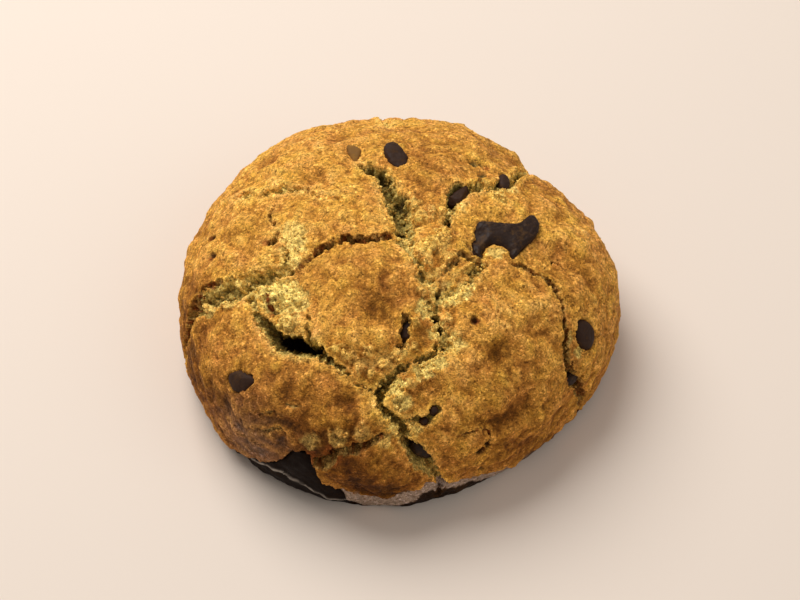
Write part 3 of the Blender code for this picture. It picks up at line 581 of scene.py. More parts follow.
def makeMelt():
    deselectAll()
    bpy.ops.mesh.primitive_cylinder_add(vertices=melt["sides"], radius=1.0, depth=2.0)
    piece = bpy.context.object
    piece.name = "chocolate_melt_fine"
    bpy.ops.object.mode_set(mode="EDIT")
    bpy.ops.mesh.select_mode(type="EDGE")
    bpy.ops.mesh.select_all(action="DESELECT")
    bpy.ops.object.mode_set(mode="OBJECT")
    mesh = piece.data
    for edge in mesh.edges:
        first, second = (mesh.vertices[v].co.z for v in edge.vertices)
        edge.select = abs(first - second) > 1.0
    bpy.ops.object.mode_set(mode="EDIT")
    bpy.ops.mesh.subdivide(number_cuts=melt["rings"])
    bpy.ops.object.mode_set(mode="OBJECT")
    tube = readPoints(mesh)
    part = (tube[:, 2] + 1) / 2
    bearing = melt["start"] + (melt["end"] - melt["start"]) * part
    full = np.clip(np.minimum(part, 1 - part) * 9.0, 0.02, 1.0) ** 0.5
    top = melt["foot"] - (melt["foot"] - rimFall(bearing) - melt["lap"]) * full
    fall = (top + melt["foot"]) / 2 + (melt["foot"] - top) / 2 * tube[:, 0]
    ridge = np.interp(bearing, *zip(*ridgeLine))
    ridgeShare = np.exp(-((fall - ridge) / 1.1) ** 2) * (tube[:, 1] > 0) * smooth(bearing, 226, 230)
    ridgeShare *= 1 - smooth(bearing, 255, 258)
    points = surface(bearing, fall) + outward(bearing, fall) * (
        melt["middle"] + melt["half"] * full * tube[:, 1] + 0.35 * mm * ridgeShare)[:, None]
    relief = 0.38 * roughly(points, 5.0 * mm, 1, 31.0) + 0.3 * roughly(points, 2.0 * mm, 3, 33.0)
    points = points + outward(bearing, fall) * (relief * full * mm)[:, None]
    patchy = np.clip(1.0 + 0.9 * roughly(points, 1.3 * mm, 2, 35.0), 0, 1)
    # pale grey on the ridge: dust and painted highlight
    setAttribute(mesh, "ridge", np.exp(-((fall - ridge) / 0.50) ** 2) * (ridgeShare > 0.05) * patchy)
    points[:, 2] = np.maximum(points[:, 2], melt["lift"])
    writePoints(mesh, points)
    makeActive(piece)
    bpy.ops.object.mode_set(mode="EDIT")
    bpy.ops.mesh.select_all(action="SELECT")
    bpy.ops.mesh.normals_make_consistent(inside=False)
    bpy.ops.object.mode_set(mode="OBJECT")
    bpy.ops.object.shade_smooth()
    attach(piece, "root")
    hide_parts("chocolate_melt")
    return piece


chocolatePieces = {name: makeChip(name, shape, number + 1)
                   for number, (name, shape) in enumerate(chocolateShapes.items())}
chocolatePieces["chocolate_melt"] = makeMelt()
print("chocolate made:", len(chocolatePieces), "pieces")

# ---------- dough ----------

dough = dict(
    firstCuts=11, secondCuts=9,     # (11 + 1) * (9 + 1) rings from the top to the base
    knob=(5.2 * mm, 0.52 * mm),     # size and height of each scale of the relief
    pebble=(2.2 * mm, 0.22 * mm),
    grit=(0.8 * mm, 0.10 * mm),
    rubble=(1.5 * mm, 0.60 * mm),
    fineRubble=(0.7 * mm, 0.34 * mm),
    fillBlock=2.1 * mm,
    warpWide=(3.0 * mm, 0.60 * mm),
    warpFine=(1.0 * mm, 0.42 * mm),
    ragSize=1.15 * mm,
    lip=0.16 * mm,
    crown=34.9 * mm,        # bumps that rise past this are flattened
    tornDepth=0.35 * mm,
    underCut=(0.35 * mm, 2.0 * mm),     # how far the side steps back below the crust: all round, front left
)

def spacedFalls(share):  # even steps along the profile, from the top to the base
    falls = np.linspace(0, form["baseFall"], 481)
    profile = surface(np.zeros_like(falls), falls)
    length = np.concatenate([[0], np.cumsum(np.linalg.norm(np.diff(profile, axis=0), axis=1))])
    return np.interp(share * length[-1], length, falls)


def makeDoughSheet():  # a six-sided disc of even triangles, which becomes the whole skin
    deselectAll()
    bpy.ops.mesh.primitive_circle_add(vertices=6, radius=1.0, fill_type="TRIFAN")
    piece = bpy.context.object
    piece.name = "dough_fine"
    bpy.ops.object.mode_set(mode="EDIT")
    bpy.ops.mesh.select_all(action="SELECT")
    bpy.ops.mesh.subdivide(number_cuts=dough["firstCuts"])
    bpy.ops.mesh.subdivide(number_cuts=dough["secondCuts"])
    bpy.ops.object.mode_set(mode="OBJECT")
    return piece


def refineWhere(piece, busy):  # halve the facets that touch a busy point
    mesh = piece.data
    chosen = busy[readTriangles(mesh)].any(axis=1)
    makeActive(piece)
    bpy.ops.object.mode_set(mode="EDIT")
    bpy.ops.mesh.select_mode(type="FACE")
    bpy.ops.mesh.select_all(action="DESELECT")
    bpy.ops.object.mode_set(mode="OBJECT")
    mesh.polygons.foreach_set("select", chosen)
    bpy.ops.object.mode_set(mode="EDIT")
    bpy.ops.mesh.subdivide(number_cuts=1)
    bpy.ops.mesh.select_all(action="SELECT")
    bpy.ops.mesh.quads_convert_to_tris()
    bpy.ops.object.mode_set(mode="OBJECT")


def closeBase(piece):  # draw the open edge inwards along the flat base, then fill the middle
    makeActive(piece)
    bpy.ops.object.mode_set(mode="EDIT")
    bpy.ops.mesh.select_mode(type="EDGE")
    bpy.ops.mesh.select_all(action="DESELECT")
    bpy.ops.mesh.select_non_manifold()
    for size in (0.97, 0.9):
        bpy.ops.mesh.extrude_edges_move()
        bpy.ops.transform.resize(value=(size, size, 1.0), center_override=(0, 0, 0))
    bpy.ops.mesh.edge_face_add()
    bpy.ops.mesh.select_all(action="SELECT")
    bpy.ops.mesh.normals_make_consistent(inside=False)
    bpy.ops.object.mode_set(mode="OBJECT")


def placesOf(piece):  # bearing and fall of every point of the flat sheet
    flat = readPoints(piece.data)
    bearing = np.degrees(np.arctan2(flat[:, 1], flat[:, 0]))
    within = (bearing + 30.0) % 60.0 - 30.0
    share = np.hypot(flat[:, 0], flat[:, 1]) * np.cos(np.radians(within)) / math.cos(math.radians(30))
    return bearing, spacedFalls(np.clip(share, 0, 1))


def reliefOf(bearing, fall):  # everything that the relief and the browning are worked out from
    plain = surface(bearing, fall)
    normals = outward(bearing, np.clip(fall, 0.01, form["baseFall"]))
    rise = bulgeOf(plain)
    for spotBearing, spotFall, radius, lift in dents:
        rise += 1.4 * lift * mm * spotShare(plain, spotBearing, spotFall, radius)

    warped = plain.copy()
    for axis in range(3):
        warped[:, axis] += dough["warpWide"][1] * roughly(plain, dough["warpWide"][0], 1, 11.0 + 7 * axis)
        warped[:, axis] += dough["warpFine"][1] * roughly(plain, dough["warpFine"][0], 1, 47.0 + 9 * axis)
    ragged = roughly(plain, dough["ragSize"], 2, 71.0)

    count = len(plain)
    cut, slant, beyond = np.zeros(count), np.zeros((count, 3)), np.full(count, 1.0)
    tints = {name: np.zeros(count) for name in ("toast", "floorShade", "shadeBlack", "fill")}
    for special in cracks.values():
        crack = crackBase | special
        crackCut, crackLift, crackSlant, crackBeyond = crackRelief(warped, normals, ragged, crack)
        deeper = crackCut > cut
        cut[deeper], slant[deeper] = crackCut[deeper], crackSlant[deeper]
        for name, tint in tints.items():
            tint[deeper] = crack[name]
        rise += crackLift
        beyond = np.minimum(beyond, crackBeyond + 1.4 * mm * crack["toast"])

    opened = np.where(cut > 0.2 * mm)[0]
    blocky = 0.65 * rubbleOf(plain[opened], dough["fillBlock"], 6.0) + 0.35 * rubbleOf(
        plain[opened], 0.5 * dough["fillBlock"], 9.0)
    cut[opened] *= 1 - tints["fill"][opened] * (2.2 * blocky - 0.25)

    torn = np.zeros(count)
    for spotBearing, spotFall, radius, strength in tornSpots:
        gap = np.linalg.norm(warped - surface(spotBearing, spotFall), axis=1) + 0.9 * mm * ragged
        torn = np.maximum(torn, strength * (1 - smooth(gap, 0.55 * radius * mm, 0.85 * radius * mm)))
    blocks = np.zeros(count)
    for spotBearing, spotFall, radius, lift in crumbBlocks:
        gap = np.linalg.norm(warped - surface(spotBearing, spotFall), axis=1) + 0.55 * mm * ragged
        block = 1 - smooth(gap, 0.5 * radius * mm, 0.95 * radius * mm)
        cut *= 1 - 0.9 * block
        rise += 1.25 * lift * mm * np.clip(block - blocks, 0, 1)
        blocks = np.maximum(blocks, block)
    dark = np.zeros(count)
    for spotBearing, spotFall, radius, depth in pits:
        bowl = spotShare(warped, spotBearing, spotFall, radius, 4)
        cut += depth * mm * bowl
        # painted shade in the bottom of each pit
        dark = np.maximum(dark, bowl)
    crumb = np.maximum(smooth(cut, 0.35 * mm, 1.1 * mm), torn)
    crumbly = np.maximum(crumb, 0.75 * blocks)

    edge = rimFall(bearing) + 1.6 * ragged
    below = smooth(fall, edge - 0.7, edge + 0.7)
    return dict(plain=plain, normals=normals, rise=rise, cut=cut, slant=slant, beyond=beyond, torn=torn,
                dark=dark, crumb=crumb, crumbly=crumbly, blocks=blocks, below=below, edge=edge, fall=fall,
                bearing=bearing, **tints)


def sinkSockets(points, normals):  # the dough gives way where chocolate lies close under it
    for piece in chocolatePieces.values():
        tree = BVHTree.FromObject(piece, bpy.context.evaluated_depsgraph_get())
        shape = readPoints(piece.data)
        low, high = shape.min(0) - 3 * mm, shape.max(0) + 3 * mm
        for number in np.where(np.all((points > low) & (points < high), axis=1))[0]:
            place, normal = Vector(points[number]), Vector(normals[number])
            hit = tree.ray_cast(place + normal * 5 * mm, -normal, 12 * mm)
            if hit[0] is not None:
                height = 5 * mm - hit[3]
                if height > -chocolate["reveal"]:
                    points[number] += normals[number] * min(0.0, height - chocolate["clearance"])
    return points


def nearChocolate(points, margin):
    near = np.zeros(len(points), bool)
    for nodeName, piece in chocolatePieces.items():
        if nodeName != "chocolate_melt":
            shape = readPoints(piece.data)
            near |= np.linalg.norm(points - shape.mean(0), axis=1) < np.ptp(shape, axis=0).max() / 2 + margin
    return near


def shapeDough(piece, relief):
    plain, normals, crumbly = relief["plain"], relief["normals"], relief["crumbly"]
    knob = 1.6 * np.abs(roughly(plain, dough["knob"][0], 2, 3.0)) - 0.5
    pebble = roughly(plain, dough["pebble"][0], 2, 5.0)
    rise = relief["rise"] + dough["knob"][1] * knob + dough["pebble"][1] * pebble
    rise += dough["lip"] * np.exp(-((relief["beyond"] - 0.5 * mm) / (0.6 * mm)) ** 2)
    meltSide = smooth(relief["bearing"] % 360, 212, 218) * (1 - smooth(relief["bearing"] % 360, 252, 258))
    stepBack = dough["underCut"][0] + (dough["underCut"][1] - dough["underCut"][0]) * meltSide
    drop = relief["cut"] + relief["torn"] * dough["tornDepth"] + relief["below"] * stepBack
    calm = np.clip((form["baseFall"] - relief["fall"]) / 6.0, 0.0, 1.0)[:, None]
    points = plain + (normals * (rise - drop)[:, None] + relief["slant"]) * calm
    crown = dough["crown"]
    points[:, 2] = np.where(points[:, 2] > crown, crown + 0.4 * (points[:, 2] - crown), points[:, 2])
    points = sinkSockets(points, normals)
    points[:, 2] = np.maximum(points[:, 2], 0.0)
    writePoints(piece.data, points)

    live = readNormals(piece.data)
    grit = roughly(points, dough["grit"][0], 2, 8.0)
    rubble = np.zeros(len(points))
    rough = np.where((crumbly > 0.02) & (relief["fall"] < 112))[0]
    rubble[rough] = (dough["rubble"][1] * (rubbleOf(points[rough], dough["rubble"][0], 2.0) - 0.4)
                     + dough["fineRubble"][1] * (rubbleOf(points[rough], dough["fineRubble"][0], 4.0) - 0.4))
    points = points + live * ((dough["grit"][1] * grit * (1 + crumbly) + crumbly * rubble)[:, None] * calm)
    points[:, 2] = np.maximum(points[:, 2], 0.0)
    points[relief["fall"] > 118.5, 2] = 0.0
    writePoints(piece.data, points)
    relief.update(points=points, knob=knob, pebble=pebble, rubble=rubble, grit=grit)


def bakeAndShadeDough(piece, relief):  # the values that the baked colours and the painted shade are mixed from
    mesh = piece.data
    edges = np.empty(len(mesh.edges) * 2, np.int32)
    mesh.edges.foreach_get("vertices", edges)
    edges = edges.reshape(-1, 2)
    points, live = relief["points"], readNormals(mesh)
    fine = np.einsum("ij,ij->i", evenedOut(points, edges, 4) - points, live) / (0.10 * mm)
    wide = np.einsum("ij,ij->i", evenedOut(points, edges, 40) - points, live) / (0.45 * mm)
    hollow = np.clip(0.5 * fine + 0.5 * wide, -1, 1)

    plain, fall, bearing = relief["plain"], relief["fall"], relief["bearing"]
    tone = 0.36 - 0.17 * (1 - smooth(relief["beyond"], 0.2 * mm, 1.7 * mm))
    for spotBearing, spotFall, radius, change in browning:
        tone += change * spotShare(plain, spotBearing, spotFall, radius)
    tone += 0.06 * smooth(fall, 60, 92) + 0.14 * roughly(plain, 7 * mm, 2, 21.0)
    tone += 0.08 * roughly(plain, 2.6 * mm, 2, 22.0) + 0.07 * roughly(plain, 1.1 * mm, 1, 24.0)
    # painted shade: darker in hollows, lighter on raised lumps
    tone += 0.17 * hollow - 0.04 * relief["pebble"] - 0.03 * relief["knob"]
    # darker towards the base and below the crust's lower edge
    tone += 0.42 * relief["below"] + 0.12 * smooth(fall, 92, 108)
    hue = 0.5 + 0.6 * roughly(plain, 5.0 * mm, 2, 61.0) + 0.4 * roughly(plain, 1.8 * mm, 2, 63.0)
    inCrack = smooth(relief["cut"], 0.15 * mm, 0.7 * mm)
    toasted = relief["toast"] * inCrack * np.clip(0.75 + 0.5 * roughly(plain, 1.4 * mm, 2, 25.0), 0, 1)
    for spotBearing, spotFall, radius, share in marks:
        gap = np.linalg.norm(plain - surface(spotBearing, spotFall), axis=1) / mm + 0.35 * roughly(
            plain, 0.9 * mm, 2, 65.0)
        toasted = np.maximum(toasted, share * (1 - smooth(gap, 0.6 * radius, 1.1 * radius)))
    depth = relief["cut"] / mm
    bandFoot = np.interp(bearing % 360.0, *zip(*bandLine)) + 1.5 * roughly(plain, 1.2 * mm, 2, 27.0)
    front = smooth(bearing % 360.0, 250, 256) * (1 - smooth(bearing % 360.0, 300, 314))
    band = front * relief["below"] * (1 - smooth(fall, bandFoot - 0.6, bandFoot + 0.6))
    band = np.maximum(band, 0.28 * spotShare(plain, 231, 87, 8) * (1 - relief["below"]))
    # painted shade: near black at the bottom of deep cracks and pits, darker in the hollows of the crumb; also
    # darker, nearly black, below the ashy band at the front
    shadeBlackening = np.maximum(relief["dark"] * 0.8, relief["shadeBlack"] * smooth(depth, 3.3, 5.8))
    shadeBlackening = np.maximum(shadeBlackening, 0.35 * smooth(hollow, 0.5, 1.0) * relief["crumb"])
    shadeBlackening = np.maximum(shadeBlackening, 0.85 * front * smooth(fall, bandFoot - 0.6, bandFoot + 0.6))
    # a pale grey line along the crust's lower edge at the front left, partly floury and partly a painted highlight
    edgeFlourAndHighlight = np.exp(-((fall - relief["edge"] - 0.2) / 0.6) ** 2) * np.clip(
        0.3 + 1.4 * roughly(plain, 1.2 * mm, 2, 28.0), 0, 1) * smooth(bearing % 360.0, 205, 215)
    edgeFlourAndHighlight *= 1 - smooth(bearing % 360.0, 246, 252)
    values = dict(
        tone=np.clip(tone, 0, 1), hue=np.clip(hue, 0, 1), toast=toasted, shadeBlackening=shadeBlackening, band=band, edgeFlourAndHighlight=edgeFlourAndHighlight,
        crumb=np.maximum(relief["crumb"], 0.25 * relief["blocks"]) * (1 - relief["below"]),
        # painted shade: the crumb of the crack floors turns olive with depth
        floorShade=relief["floorShade"] * smooth(depth, 0.5, 2.6),
    )
    for name, value in values.items():
        setAttribute(mesh, name, value)
    relief.update(values)


doughPiece = makeDoughSheet()
coarse = reliefOf(*placesOf(doughPiece))
refineWhere(doughPiece, (coarse["crumbly"] > 0.15) | nearChocolate(coarse["plain"], 1.0 * mm))
coarse = reliefOf(*placesOf(doughPiece))
triangles = readTriangles(doughPiece.data)
steep = np.ptp(coarse["cut"][triangles], axis=1) > 0.7 * mm
steepPoints = np.zeros(len(coarse["cut"]), bool)
steepPoints[triangles[steep].ravel()] = True
refineWhere(doughPiece, steepPoints)
skin = reliefOf(*placesOf(doughPiece))
shapeDough(doughPiece, skin)
bakeAndShadeDough(doughPiece, skin)
skin["live"] = readNormals(doughPiece.data)
closeBase(doughPiece)
makeActive(doughPiece)
bpy.ops.object.shade_smooth()
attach(doughPiece, "root")
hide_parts("dough")
print("dough made:", sum(len(face.vertices) - 2 for face in doughPiece.data.polygons), "triangles")

# ---------- grains and crumbs ----------

grains = dict(
    crustCount=5200, crustSize=(0.09 * mm, 0.20 * mm), crustSink=-0.25,
    crumbCount=5200, crumbSize=(0.12 * mm, 0.42 * mm), crumbSink=0.1,
)


def makeGrainShape():  # one rough grain of twenty faces
    deselectAll()
    bpy.ops.mesh.primitive_ico_sphere_add(subdivisions=1, radius=1.0)
    seedGrain = bpy.context.object
    shape = readPoints(seedGrain.data)
    faces = readTriangles(seedGrain.data)
    bpy.data.objects.remove(seedGrain)
    return shape, faces


def scatter(name, chosen, radius, sink, rng, values):  # joined grains on chosen skin points
    shape, faces = makeGrainShape()
    count = len(chosen)
    turns = rng.normal(size=(count, 4))
    turns /= np.linalg.norm(turns, axis=1, keepdims=True)
    w, x, y, z = turns.T
    spin = np.stack([
        1 - 2 * (y * y + z * z), 2 * (x * y - z * w), 2 * (x * z + y * w),
        2 * (x * y + z * w), 1 - 2 * (x * x + z * z), 2 * (y * z - x * w),
        2 * (x * z - y * w), 2 * (y * z + x * w), 1 - 2 * (x * x + y * y)], axis=1).reshape(-1, 3, 3)
    stretch = rng.uniform(0.55, 1.35, size=(count, 1, 3))
    jitter = rng.uniform(0.62, 1.2, size=(count, len(shape), 1))
    local = np.einsum("nij,nkj->nki", spin, shape[None] * jitter * stretch) * radius[:, None, None]
    place = skin["points"][chosen] + skin["live"][chosen] * (radius * sink)[:, None]
    points = (place[:, None] + local).reshape(-1, 3)
    points[:, 2] = np.maximum(points[:, 2], 0.05 * mm)
    index = (faces[None] + (np.arange(count) * len(shape))[:, None, None]).reshape(-1, 3)
    mesh = bpy.data.meshes.new(name)
    mesh.from_pydata(points.tolist(), [], index.tolist())
    mesh.update()
    for attribute, value in values.items():
        setAttribute(mesh, attribute, np.repeat(value, len(shape)))
    piece = bpy.data.objects.new(name, mesh)
    bpy.context.scene.collection.objects.link(piece)
    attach(piece, "root")
    return piece


rng = np.random.default_rng(20)
overChocolate = np.zeros(len(skin["points"]), bool)
for choc in chocolatePieces.values():
    shape = readPoints(choc.data)
    low, high = shape.min(0) - 0.1 * mm, shape.max(0) + 0.1 * mm
    overChocolate |= np.all((skin["points"] > low) & (skin["points"] < high), axis=1)

onCrust = np.where((skin["crumbly"] < 0.3) & (skin["fall"] < 106) & ~overChocolate)[0]
chosen = rng.choice(onCrust, grains["crustCount"], replace=False)
low, high = grains["crustSize"]
kept = {name: skin[name][chosen] for name in ("hue", "toast", "shadeBlackening", "band", "edgeFlourAndHighlight", "crumb", "floorShade")}
crustGrains = scatter(
    "crust_grains", chosen, low + (high - low) * rng.random(len(chosen)) ** 2, grains["crustSink"], rng, kept | dict(
        tone=np.clip(skin["tone"][chosen] + rng.normal(-0.03, 0.12, len(chosen)), 0, 1)))

inCrumb = np.where((skin["crumbly"] > 0.3) & (skin["fall"] < 100) & ~overChocolate & (skin["cut"] < 5 * mm))[0]
chosen = rng.choice(inCrumb, grains["crumbCount"], replace=False)
low, high = grains["crumbSize"]
kept = {name: skin[name][chosen] for name in kept}
looseCrumbs = scatter(
    "loose_crumbs", chosen, low + (high - low) * rng.random(len(chosen)) ** 3, grains["crumbSink"], rng, kept | dict(
        tone=np.clip(skin["tone"][chosen] + rng.normal(0.0, 0.14, len(chosen)), 0, 1),
        crumb=np.clip(skin["crumb"][chosen] * rng.uniform(0.3, 1.1, len(chosen)), 0, 1)))
print("grains made")

# ---------- materials ----------


def newMaterial(name):
    made = bpy.data.materials.new(name)
    made.use_nodes = True
    return made, made.node_tree.nodes, made.node_tree.links, made.node_tree.nodes["Principled BSDF"]


def addNode(nodes, kind, **values):
    made = nodes.new(kind)
    for name, value in values.items():
        setattr(made, name, value)
    return made


def mixColours(nodes, links, factor, first, second, blend="MIX"):
    made = addNode(nodes, "ShaderNodeMix", data_type="RGBA", blend_type=blend)
    for socket, value in ((made.inputs[0], factor), (made.inputs[6], first), (made.inputs[7], second)):
        if isinstance(value, bpy.types.NodeSocket):
            links.new(value, socket)
        elif isinstance(value, (int, float)):
            socket.default_value = value
        else:
            socket.default_value = (*value, 1.0)
    return made.outputs[2]


def ranged(nodes, links, value, low, high, start=0.0, end=1.0):
    made = addNode(nodes, "ShaderNodeMapRange")
    links.new(value, made.inputs["Value"])
    for name, number in (("From Min", low), ("From Max", high), ("To Min", start), ("To Max", end)):
        made.inputs[name].default_value = number
    return made.outputs[0]


def combined(nodes, links, operation, first, second):
    made = addNode(nodes, "ShaderNodeMath", operation=operation)
    for socket, value in zip(made.inputs, (first, second)):
        if isinstance(value, bpy.types.NodeSocket):
            links.new(value, socket)
        else:
            socket.default_value = value
    return made.outputs[0]


def readAttribute(nodes, name):
    return addNode(nodes, "ShaderNodeAttribute", attribute_name=name).outputs["Fac"]


def makeGrainGroup():  # grain of baked dough or set chocolate, at the scale it is given
    group = bpy.data.node_groups.new("finishGrain", "ShaderNodeTree")
    group.interface.new_socket("Scale", in_out="INPUT", socket_type="NodeSocketFloat")
    for name in ("Shade", "Bright", "Pores", "Height"):
        group.interface.new_socket(name, in_out="OUTPUT", socket_type="NodeSocketFloat")
    nodes, links = group.nodes, group.links
    scale = nodes.new("NodeGroupInput").outputs["Scale"]
    leave = nodes.new("NodeGroupOutput")
    place = nodes.new("ShaderNodeTexCoord").outputs["Object"]
    warp = addNode(nodes, "ShaderNodeTexNoise")
    warp.inputs["Detail"].default_value = 1.0
    links.new(place, warp.inputs["Vector"])
    links.new(scale, warp.inputs["Scale"])
    shifted = addNode(nodes, "ShaderNodeVectorMath", operation="MULTIPLY_ADD")
    links.new(warp.outputs["Color"], shifted.inputs[0])
    shifted.inputs[1].default_value = (0.0004, 0.0004, 0.0004)
    links.new(place, shifted.inputs[2])
    cells = addNode(nodes, "ShaderNodeTexVoronoi", feature="F1")
    links.new(shifted.outputs[0], cells.inputs["Vector"])
    links.new(scale, cells.inputs["Scale"])
    tint = addNode(nodes, "ShaderNodeSeparateColor")
    links.new(cells.outputs["Color"], tint.inputs[0])
    soft = addNode(nodes, "ShaderNodeTexNoise")
    soft.inputs["Detail"].default_value = 3.0
    soft.inputs["Roughness"].default_value = 0.6
    links.new(place, soft.inputs["Vector"])
    links.new(combined(nodes, links, "MULTIPLY", scale, 0.45), soft.inputs["Scale"])
    tiny = addNode(nodes, "ShaderNodeTexNoise")
    tiny.inputs["Detail"].default_value = 1.0
    links.new(place, tiny.inputs["Vector"])
    links.new(combined(nodes, links, "MULTIPLY", scale, 1.7), tiny.inputs["Scale"])
    shade = combined(nodes, links, "ADD", combined(nodes, links, "MULTIPLY", tint.outputs[0], 0.42),
                     combined(nodes, links, "MULTIPLY", soft.outputs[0], 0.8))
    shade = combined(nodes, links, "ADD", shade, combined(nodes, links, "MULTIPLY", tiny.outputs[0], 0.9))
    links.new(ranged(nodes, links, shade, 0.74, 1.38), leave.inputs["Shade"])
    bright = combined(nodes, links, "MULTIPLY", ranged(nodes, links, tint.outputs[1], 0.68, 0.88),
                      ranged(nodes, links, soft.outputs[0], 0.42, 0.60))
    links.new(bright, leave.inputs["Bright"])
    pores = combined(nodes, links, "MULTIPLY", ranged(nodes, links, tint.outputs[2], 0.70, 0.9),
                     ranged(nodes, links, soft.outputs[0], 0.56, 0.40))
    links.new(pores, leave.inputs["Pores"])
    height = combined(nodes, links, "SUBTRACT", shade, combined(
        nodes, links, "MULTIPLY", cells.outputs["Distance"], 0.8))
    links.new(height, leave.inputs["Height"])
    return group


grainGroup = makeGrainGroup()

crust = dict(
    ramp=[(0.0, (0.80, 0.46, 0.098)), (0.28, (0.67, 0.335, 0.057)), (0.5, (0.47, 0.205, 0.031)),
          (0.75, (0.21, 0.076, 0.0088)), (1.0, (0.060, 0.020, 0.0035))],
    golden=(1.05, 1.06, 0.84),
    rusty=(1.04, 0.92, 1.04),
    crumbPale=(0.96, 0.70, 0.185),
    # the pale crumb darkened to olive: painted shade on the crack floors
    shadedCrumb=(0.24, 0.165, 0.035),
    toasted=(0.24, 0.058, 0.008),
    # the near black of painted shade
    shadeBlack=(0.012, 0.006, 0.003),
    speck=(1.85, 2.0, 2.5),
    pore=(0.15, 0.052, 0.006),
    ash=(0.40, 0.28, 0.20),
    # pale grey of the crust's lower edge: flour and painted highlight
    edgeFlourAndHighlight=(0.36, 0.29, 0.22),
    grainScale=2700.0,
    shadeRange=(0.52, 1.48),
    speckShare=0.75,
    poreShare=0.70,
    bump=0.15 * mm,
)


def makeDoughMaterial(name, grainScale, bump):
    made, nodes, links, shader = newMaterial(name)
    grain = addNode(nodes, "ShaderNodeGroup", node_tree=grainGroup)
    grain.inputs["Scale"].default_value = grainScale
    ramp = addNode(nodes, "ShaderNodeValToRGB")
    stops = ramp.color_ramp.elements
    while len(stops) < len(crust["ramp"]):
        stops.new(0.5)
    for stop, (place, colour) in zip(stops, crust["ramp"]):
        stop.position = place
        stop.color = (*colour, 1.0)
    links.new(readAttribute(nodes, "tone"), ramp.inputs[0])
    tint = mixColours(nodes, links, readAttribute(nodes, "hue"), crust["golden"], crust["rusty"])
    baked = mixColours(nodes, links, 1.0, ramp.outputs[0], tint, "MULTIPLY")
    # painted shade: the crumb goes from pale to olive on the crack floors
    crumbColour = mixColours(nodes, links, readAttribute(nodes, "floorShade"), crust["crumbPale"], crust["shadedCrumb"])
    colour = mixColours(nodes, links, readAttribute(nodes, "crumb"), baked, crumbColour)
    colour = mixColours(nodes, links, readAttribute(nodes, "toast"), colour, crust["toasted"])
    colour = mixColours(nodes, links, readAttribute(nodes, "band"), colour, crust["ash"])
    bright = combined(nodes, links, "MULTIPLY", grain.outputs["Bright"], crust["speckShare"])
    sparkle = mixColours(nodes, links, 1.0, colour, crust["speck"], "MULTIPLY")
    colour = mixColours(nodes, links, bright, colour, sparkle)
    pores = combined(nodes, links, "MULTIPLY", grain.outputs["Pores"], crust["poreShare"])
    colour = mixColours(nodes, links, pores, colour, crust["pore"])
    # the lower edge's pale line: flour and painted highlight
    colour = mixColours(nodes, links, readAttribute(nodes, "edgeFlourAndHighlight"), colour, crust["edgeFlourAndHighlight"])
    grey = addNode(nodes, "ShaderNodeCombineColor")
    shade = ranged(nodes, links, grain.outputs["Shade"], 0.0, 1.0, *crust["shadeRange"])
    for socket in grey.inputs:
        links.new(shade, socket)
    colour = mixColours(nodes, links, 1.0, colour, grey.outputs[0], "MULTIPLY")
    # near black: painted shade in deep cracks, pits and hollows, and the dark foot at the front
    colour = mixColours(nodes, links, readAttribute(nodes, "shadeBlackening"), colour, crust["shadeBlack"])
    links.new(colour, shader.inputs["Base Color"])
    links.new(ranged(nodes, links, grain.outputs["Bright"], 0.0, 1.0, 0.78, 0.50), shader.inputs["Roughness"])
    relief = addNode(nodes, "ShaderNodeBump")
    relief.inputs["Strength"].default_value = 1.0
    relief.inputs["Distance"].default_value = bump
    links.new(grain.outputs["Height"], relief.inputs["Height"])
    links.new(relief.outputs[0], shader.inputs["Normal"])
    shader.inputs["Specular IOR Level"].default_value = 0.10
    return made


chocolateFinish = dict(
    body=(0.027, 0.0100, 0.0042),
    bloom=(0.056, 0.023, 0.010),
    dust=(0.25, 0.115, 0.021),
    dark=(0.018, 0.0075, 0.0040),
    melted=(0.0085, 0.0036, 0.0020),
    ridge=(0.42, 0.36, 0.30),
    grainScale=1300.0,
    bump=0.05 * mm,
)


def makeChocolateMaterial(name, dusting, roughness, bloom, cover=0.0, body="body", shine=0.22):
    made, nodes, links, shader = newMaterial(name)
    grain = addNode(nodes, "ShaderNodeGroup", node_tree=grainGroup)
    grain.inputs["Scale"].default_value = chocolateFinish["grainScale"]
    share = combined(nodes, links, "MULTIPLY", grain.outputs["Shade"], bloom)
    colour = mixColours(nodes, links, share, chocolateFinish[body], chocolateFinish["bloom"])
    patches = addNode(nodes, "ShaderNodeTexNoise")
    patches.inputs["Scale"].default_value = 420.0
    patches.inputs["Detail"].default_value = 4.0
    patches.inputs["Roughness"].default_value = 0.75
    links.new(nodes.new("ShaderNodeTexCoord").outputs["Object"], patches.inputs["Vector"])
    dust = ranged(nodes, links, patches.outputs[0], 0.52, 0.66, cover, max(cover, dusting))
    colour = mixColours(nodes, links, dust, colour, chocolateFinish["dust"])
    colour = mixColours(nodes, links, readAttribute(nodes, "ridge"), colour, chocolateFinish["ridge"])
    links.new(colour, shader.inputs["Base Color"])
    shader.inputs["Specular IOR Level"].default_value = shine
    links.new(ranged(nodes, links, patches.outputs[0], 0.35, 0.65, roughness, roughness + 0.25),
              shader.inputs["Roughness"])
    relief = addNode(nodes, "ShaderNodeBump")
    relief.inputs["Strength"].default_value = 0.7
    relief.inputs["Distance"].default_value = chocolateFinish["bump"]
    links.new(grain.outputs["Height"], relief.inputs["Height"])
    links.new(relief.outputs[0], shader.inputs["Normal"])
    return made


def dress(piece, made):
    piece.data.materials.clear()
    piece.data.materials.append(made)


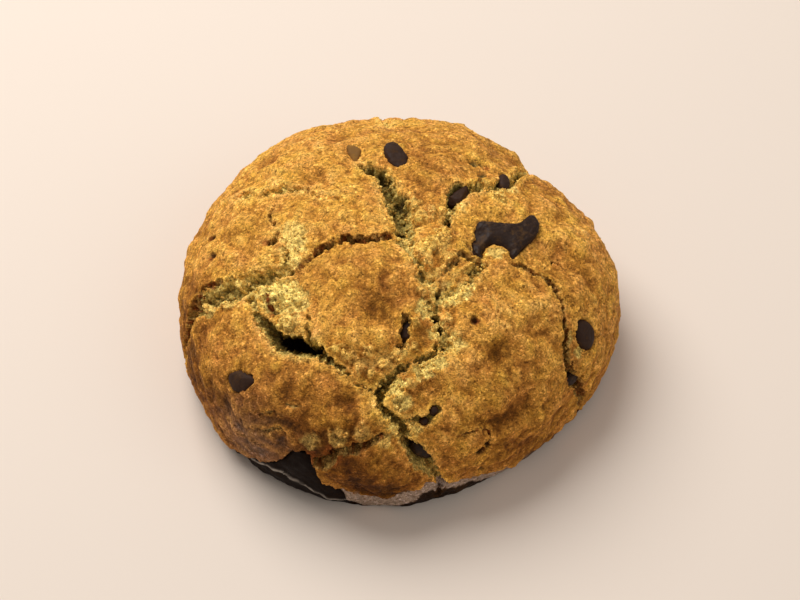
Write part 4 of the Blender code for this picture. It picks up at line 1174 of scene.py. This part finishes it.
dress(doughPiece, makeDoughMaterial("baked dough", crust["grainScale"], crust["bump"]))
grainMaterial = makeDoughMaterial("dough grains", crust["grainScale"] * 1.3, crust["bump"] * 0.5)
dress(crustGrains, grainMaterial)
dress(looseCrumbs, grainMaterial)
plainChocolate = makeChocolateMaterial("dark chocolate", 0.12, 0.58, 0.35)
dustyChocolate = makeChocolateMaterial("crumb-dusted chocolate", 0.22, 0.45, 0.25, body="dark")
coveredChocolate = makeChocolateMaterial("dough-covered chocolate", 1.0, 0.7, 1.0, 0.7)
meltedChocolate = makeChocolateMaterial("set melted chocolate", 0.04, 0.6, 0.0, body="melted", shine=0.10)
finishOf = dict(chunk_bar=dustyChocolate, chip_crack_east=dustyChocolate, chip_foot=dustyChocolate,
                chip_wedge=coveredChocolate, chocolate_melt=meltedChocolate)
for nodeName, piece in chocolatePieces.items():
    dress(piece, finishOf.get(nodeName, plainChocolate))
print("materials made")

# ---------- floor, light and camera ----------

studio = dict(
    floorColour=(0.80, 0.685, 0.585),
    keyFrom=(-0.28, 0.34, 0.62), keySize=0.62, keyPower=5.7,
    fillFrom=(0.50, -0.30, 0.50), fillSize=0.60, fillPower=0.75,
    worldColour=(1.0, 0.965, 0.93), worldStrength=0.34,
    cameraElevation=52.0, cameraDistance=0.371, cameraLens=85.0,
    aim=(0.0, -0.0014, 0.0129),
)


def pointAt(thing, place, aim):
    away = Vector(place) - Vector(aim)
    thing.location = place
    thing.rotation_euler = away.to_track_quat("Z", "Y").to_euler()


def addArea(name, place, size, power):
    lamp = bpy.data.lights.new(name, "AREA")
    lamp.shape = "DISK"
    lamp.size = size
    lamp.energy = power
    thing = bpy.data.objects.new(name, lamp)
    bpy.context.scene.collection.objects.link(thing)
    pointAt(thing, place, (0, 0, 0.015))


def makeFloor():
    deselectAll()
    bpy.ops.mesh.primitive_plane_add(size=6.0)
    floor = bpy.context.object
    floor.name = "floor"
    made, nodes, links, shader = newMaterial("pale floor")
    shader.inputs["Base Color"].default_value = (*studio["floorColour"], 1.0)
    shader.inputs["Roughness"].default_value = 0.9
    shader.inputs["Specular IOR Level"].default_value = 0.1
    dress(floor, made)


makeFloor()
addArea("key", studio["keyFrom"], studio["keySize"], studio["keyPower"])
addArea("fill", studio["fillFrom"], studio["fillSize"], studio["fillPower"])
world = bpy.data.worlds.new("studio")
world.use_nodes = True
background = world.node_tree.nodes["Background"]
background.inputs[0].default_value = (*studio["worldColour"], 1.0)
background.inputs[1].default_value = studio["worldStrength"]
bpy.context.scene.world = world
bpy.context.scene.view_settings.view_transform = "Standard"

camera = bpy.data.cameras.new("camera")
camera.lens = studio["cameraLens"]
camera.sensor_width = 36.0
cameraObject = bpy.data.objects.new("camera", camera)
bpy.context.scene.collection.objects.link(cameraObject)
tilt = math.radians(studio["cameraElevation"])
back = Vector((0, -math.cos(tilt), math.sin(tilt)))
pointAt(cameraObject, Vector(studio["aim"]) + back * studio["cameraDistance"], studio["aim"])
bpy.context.scene.camera = cameraObject
print("studio ready")
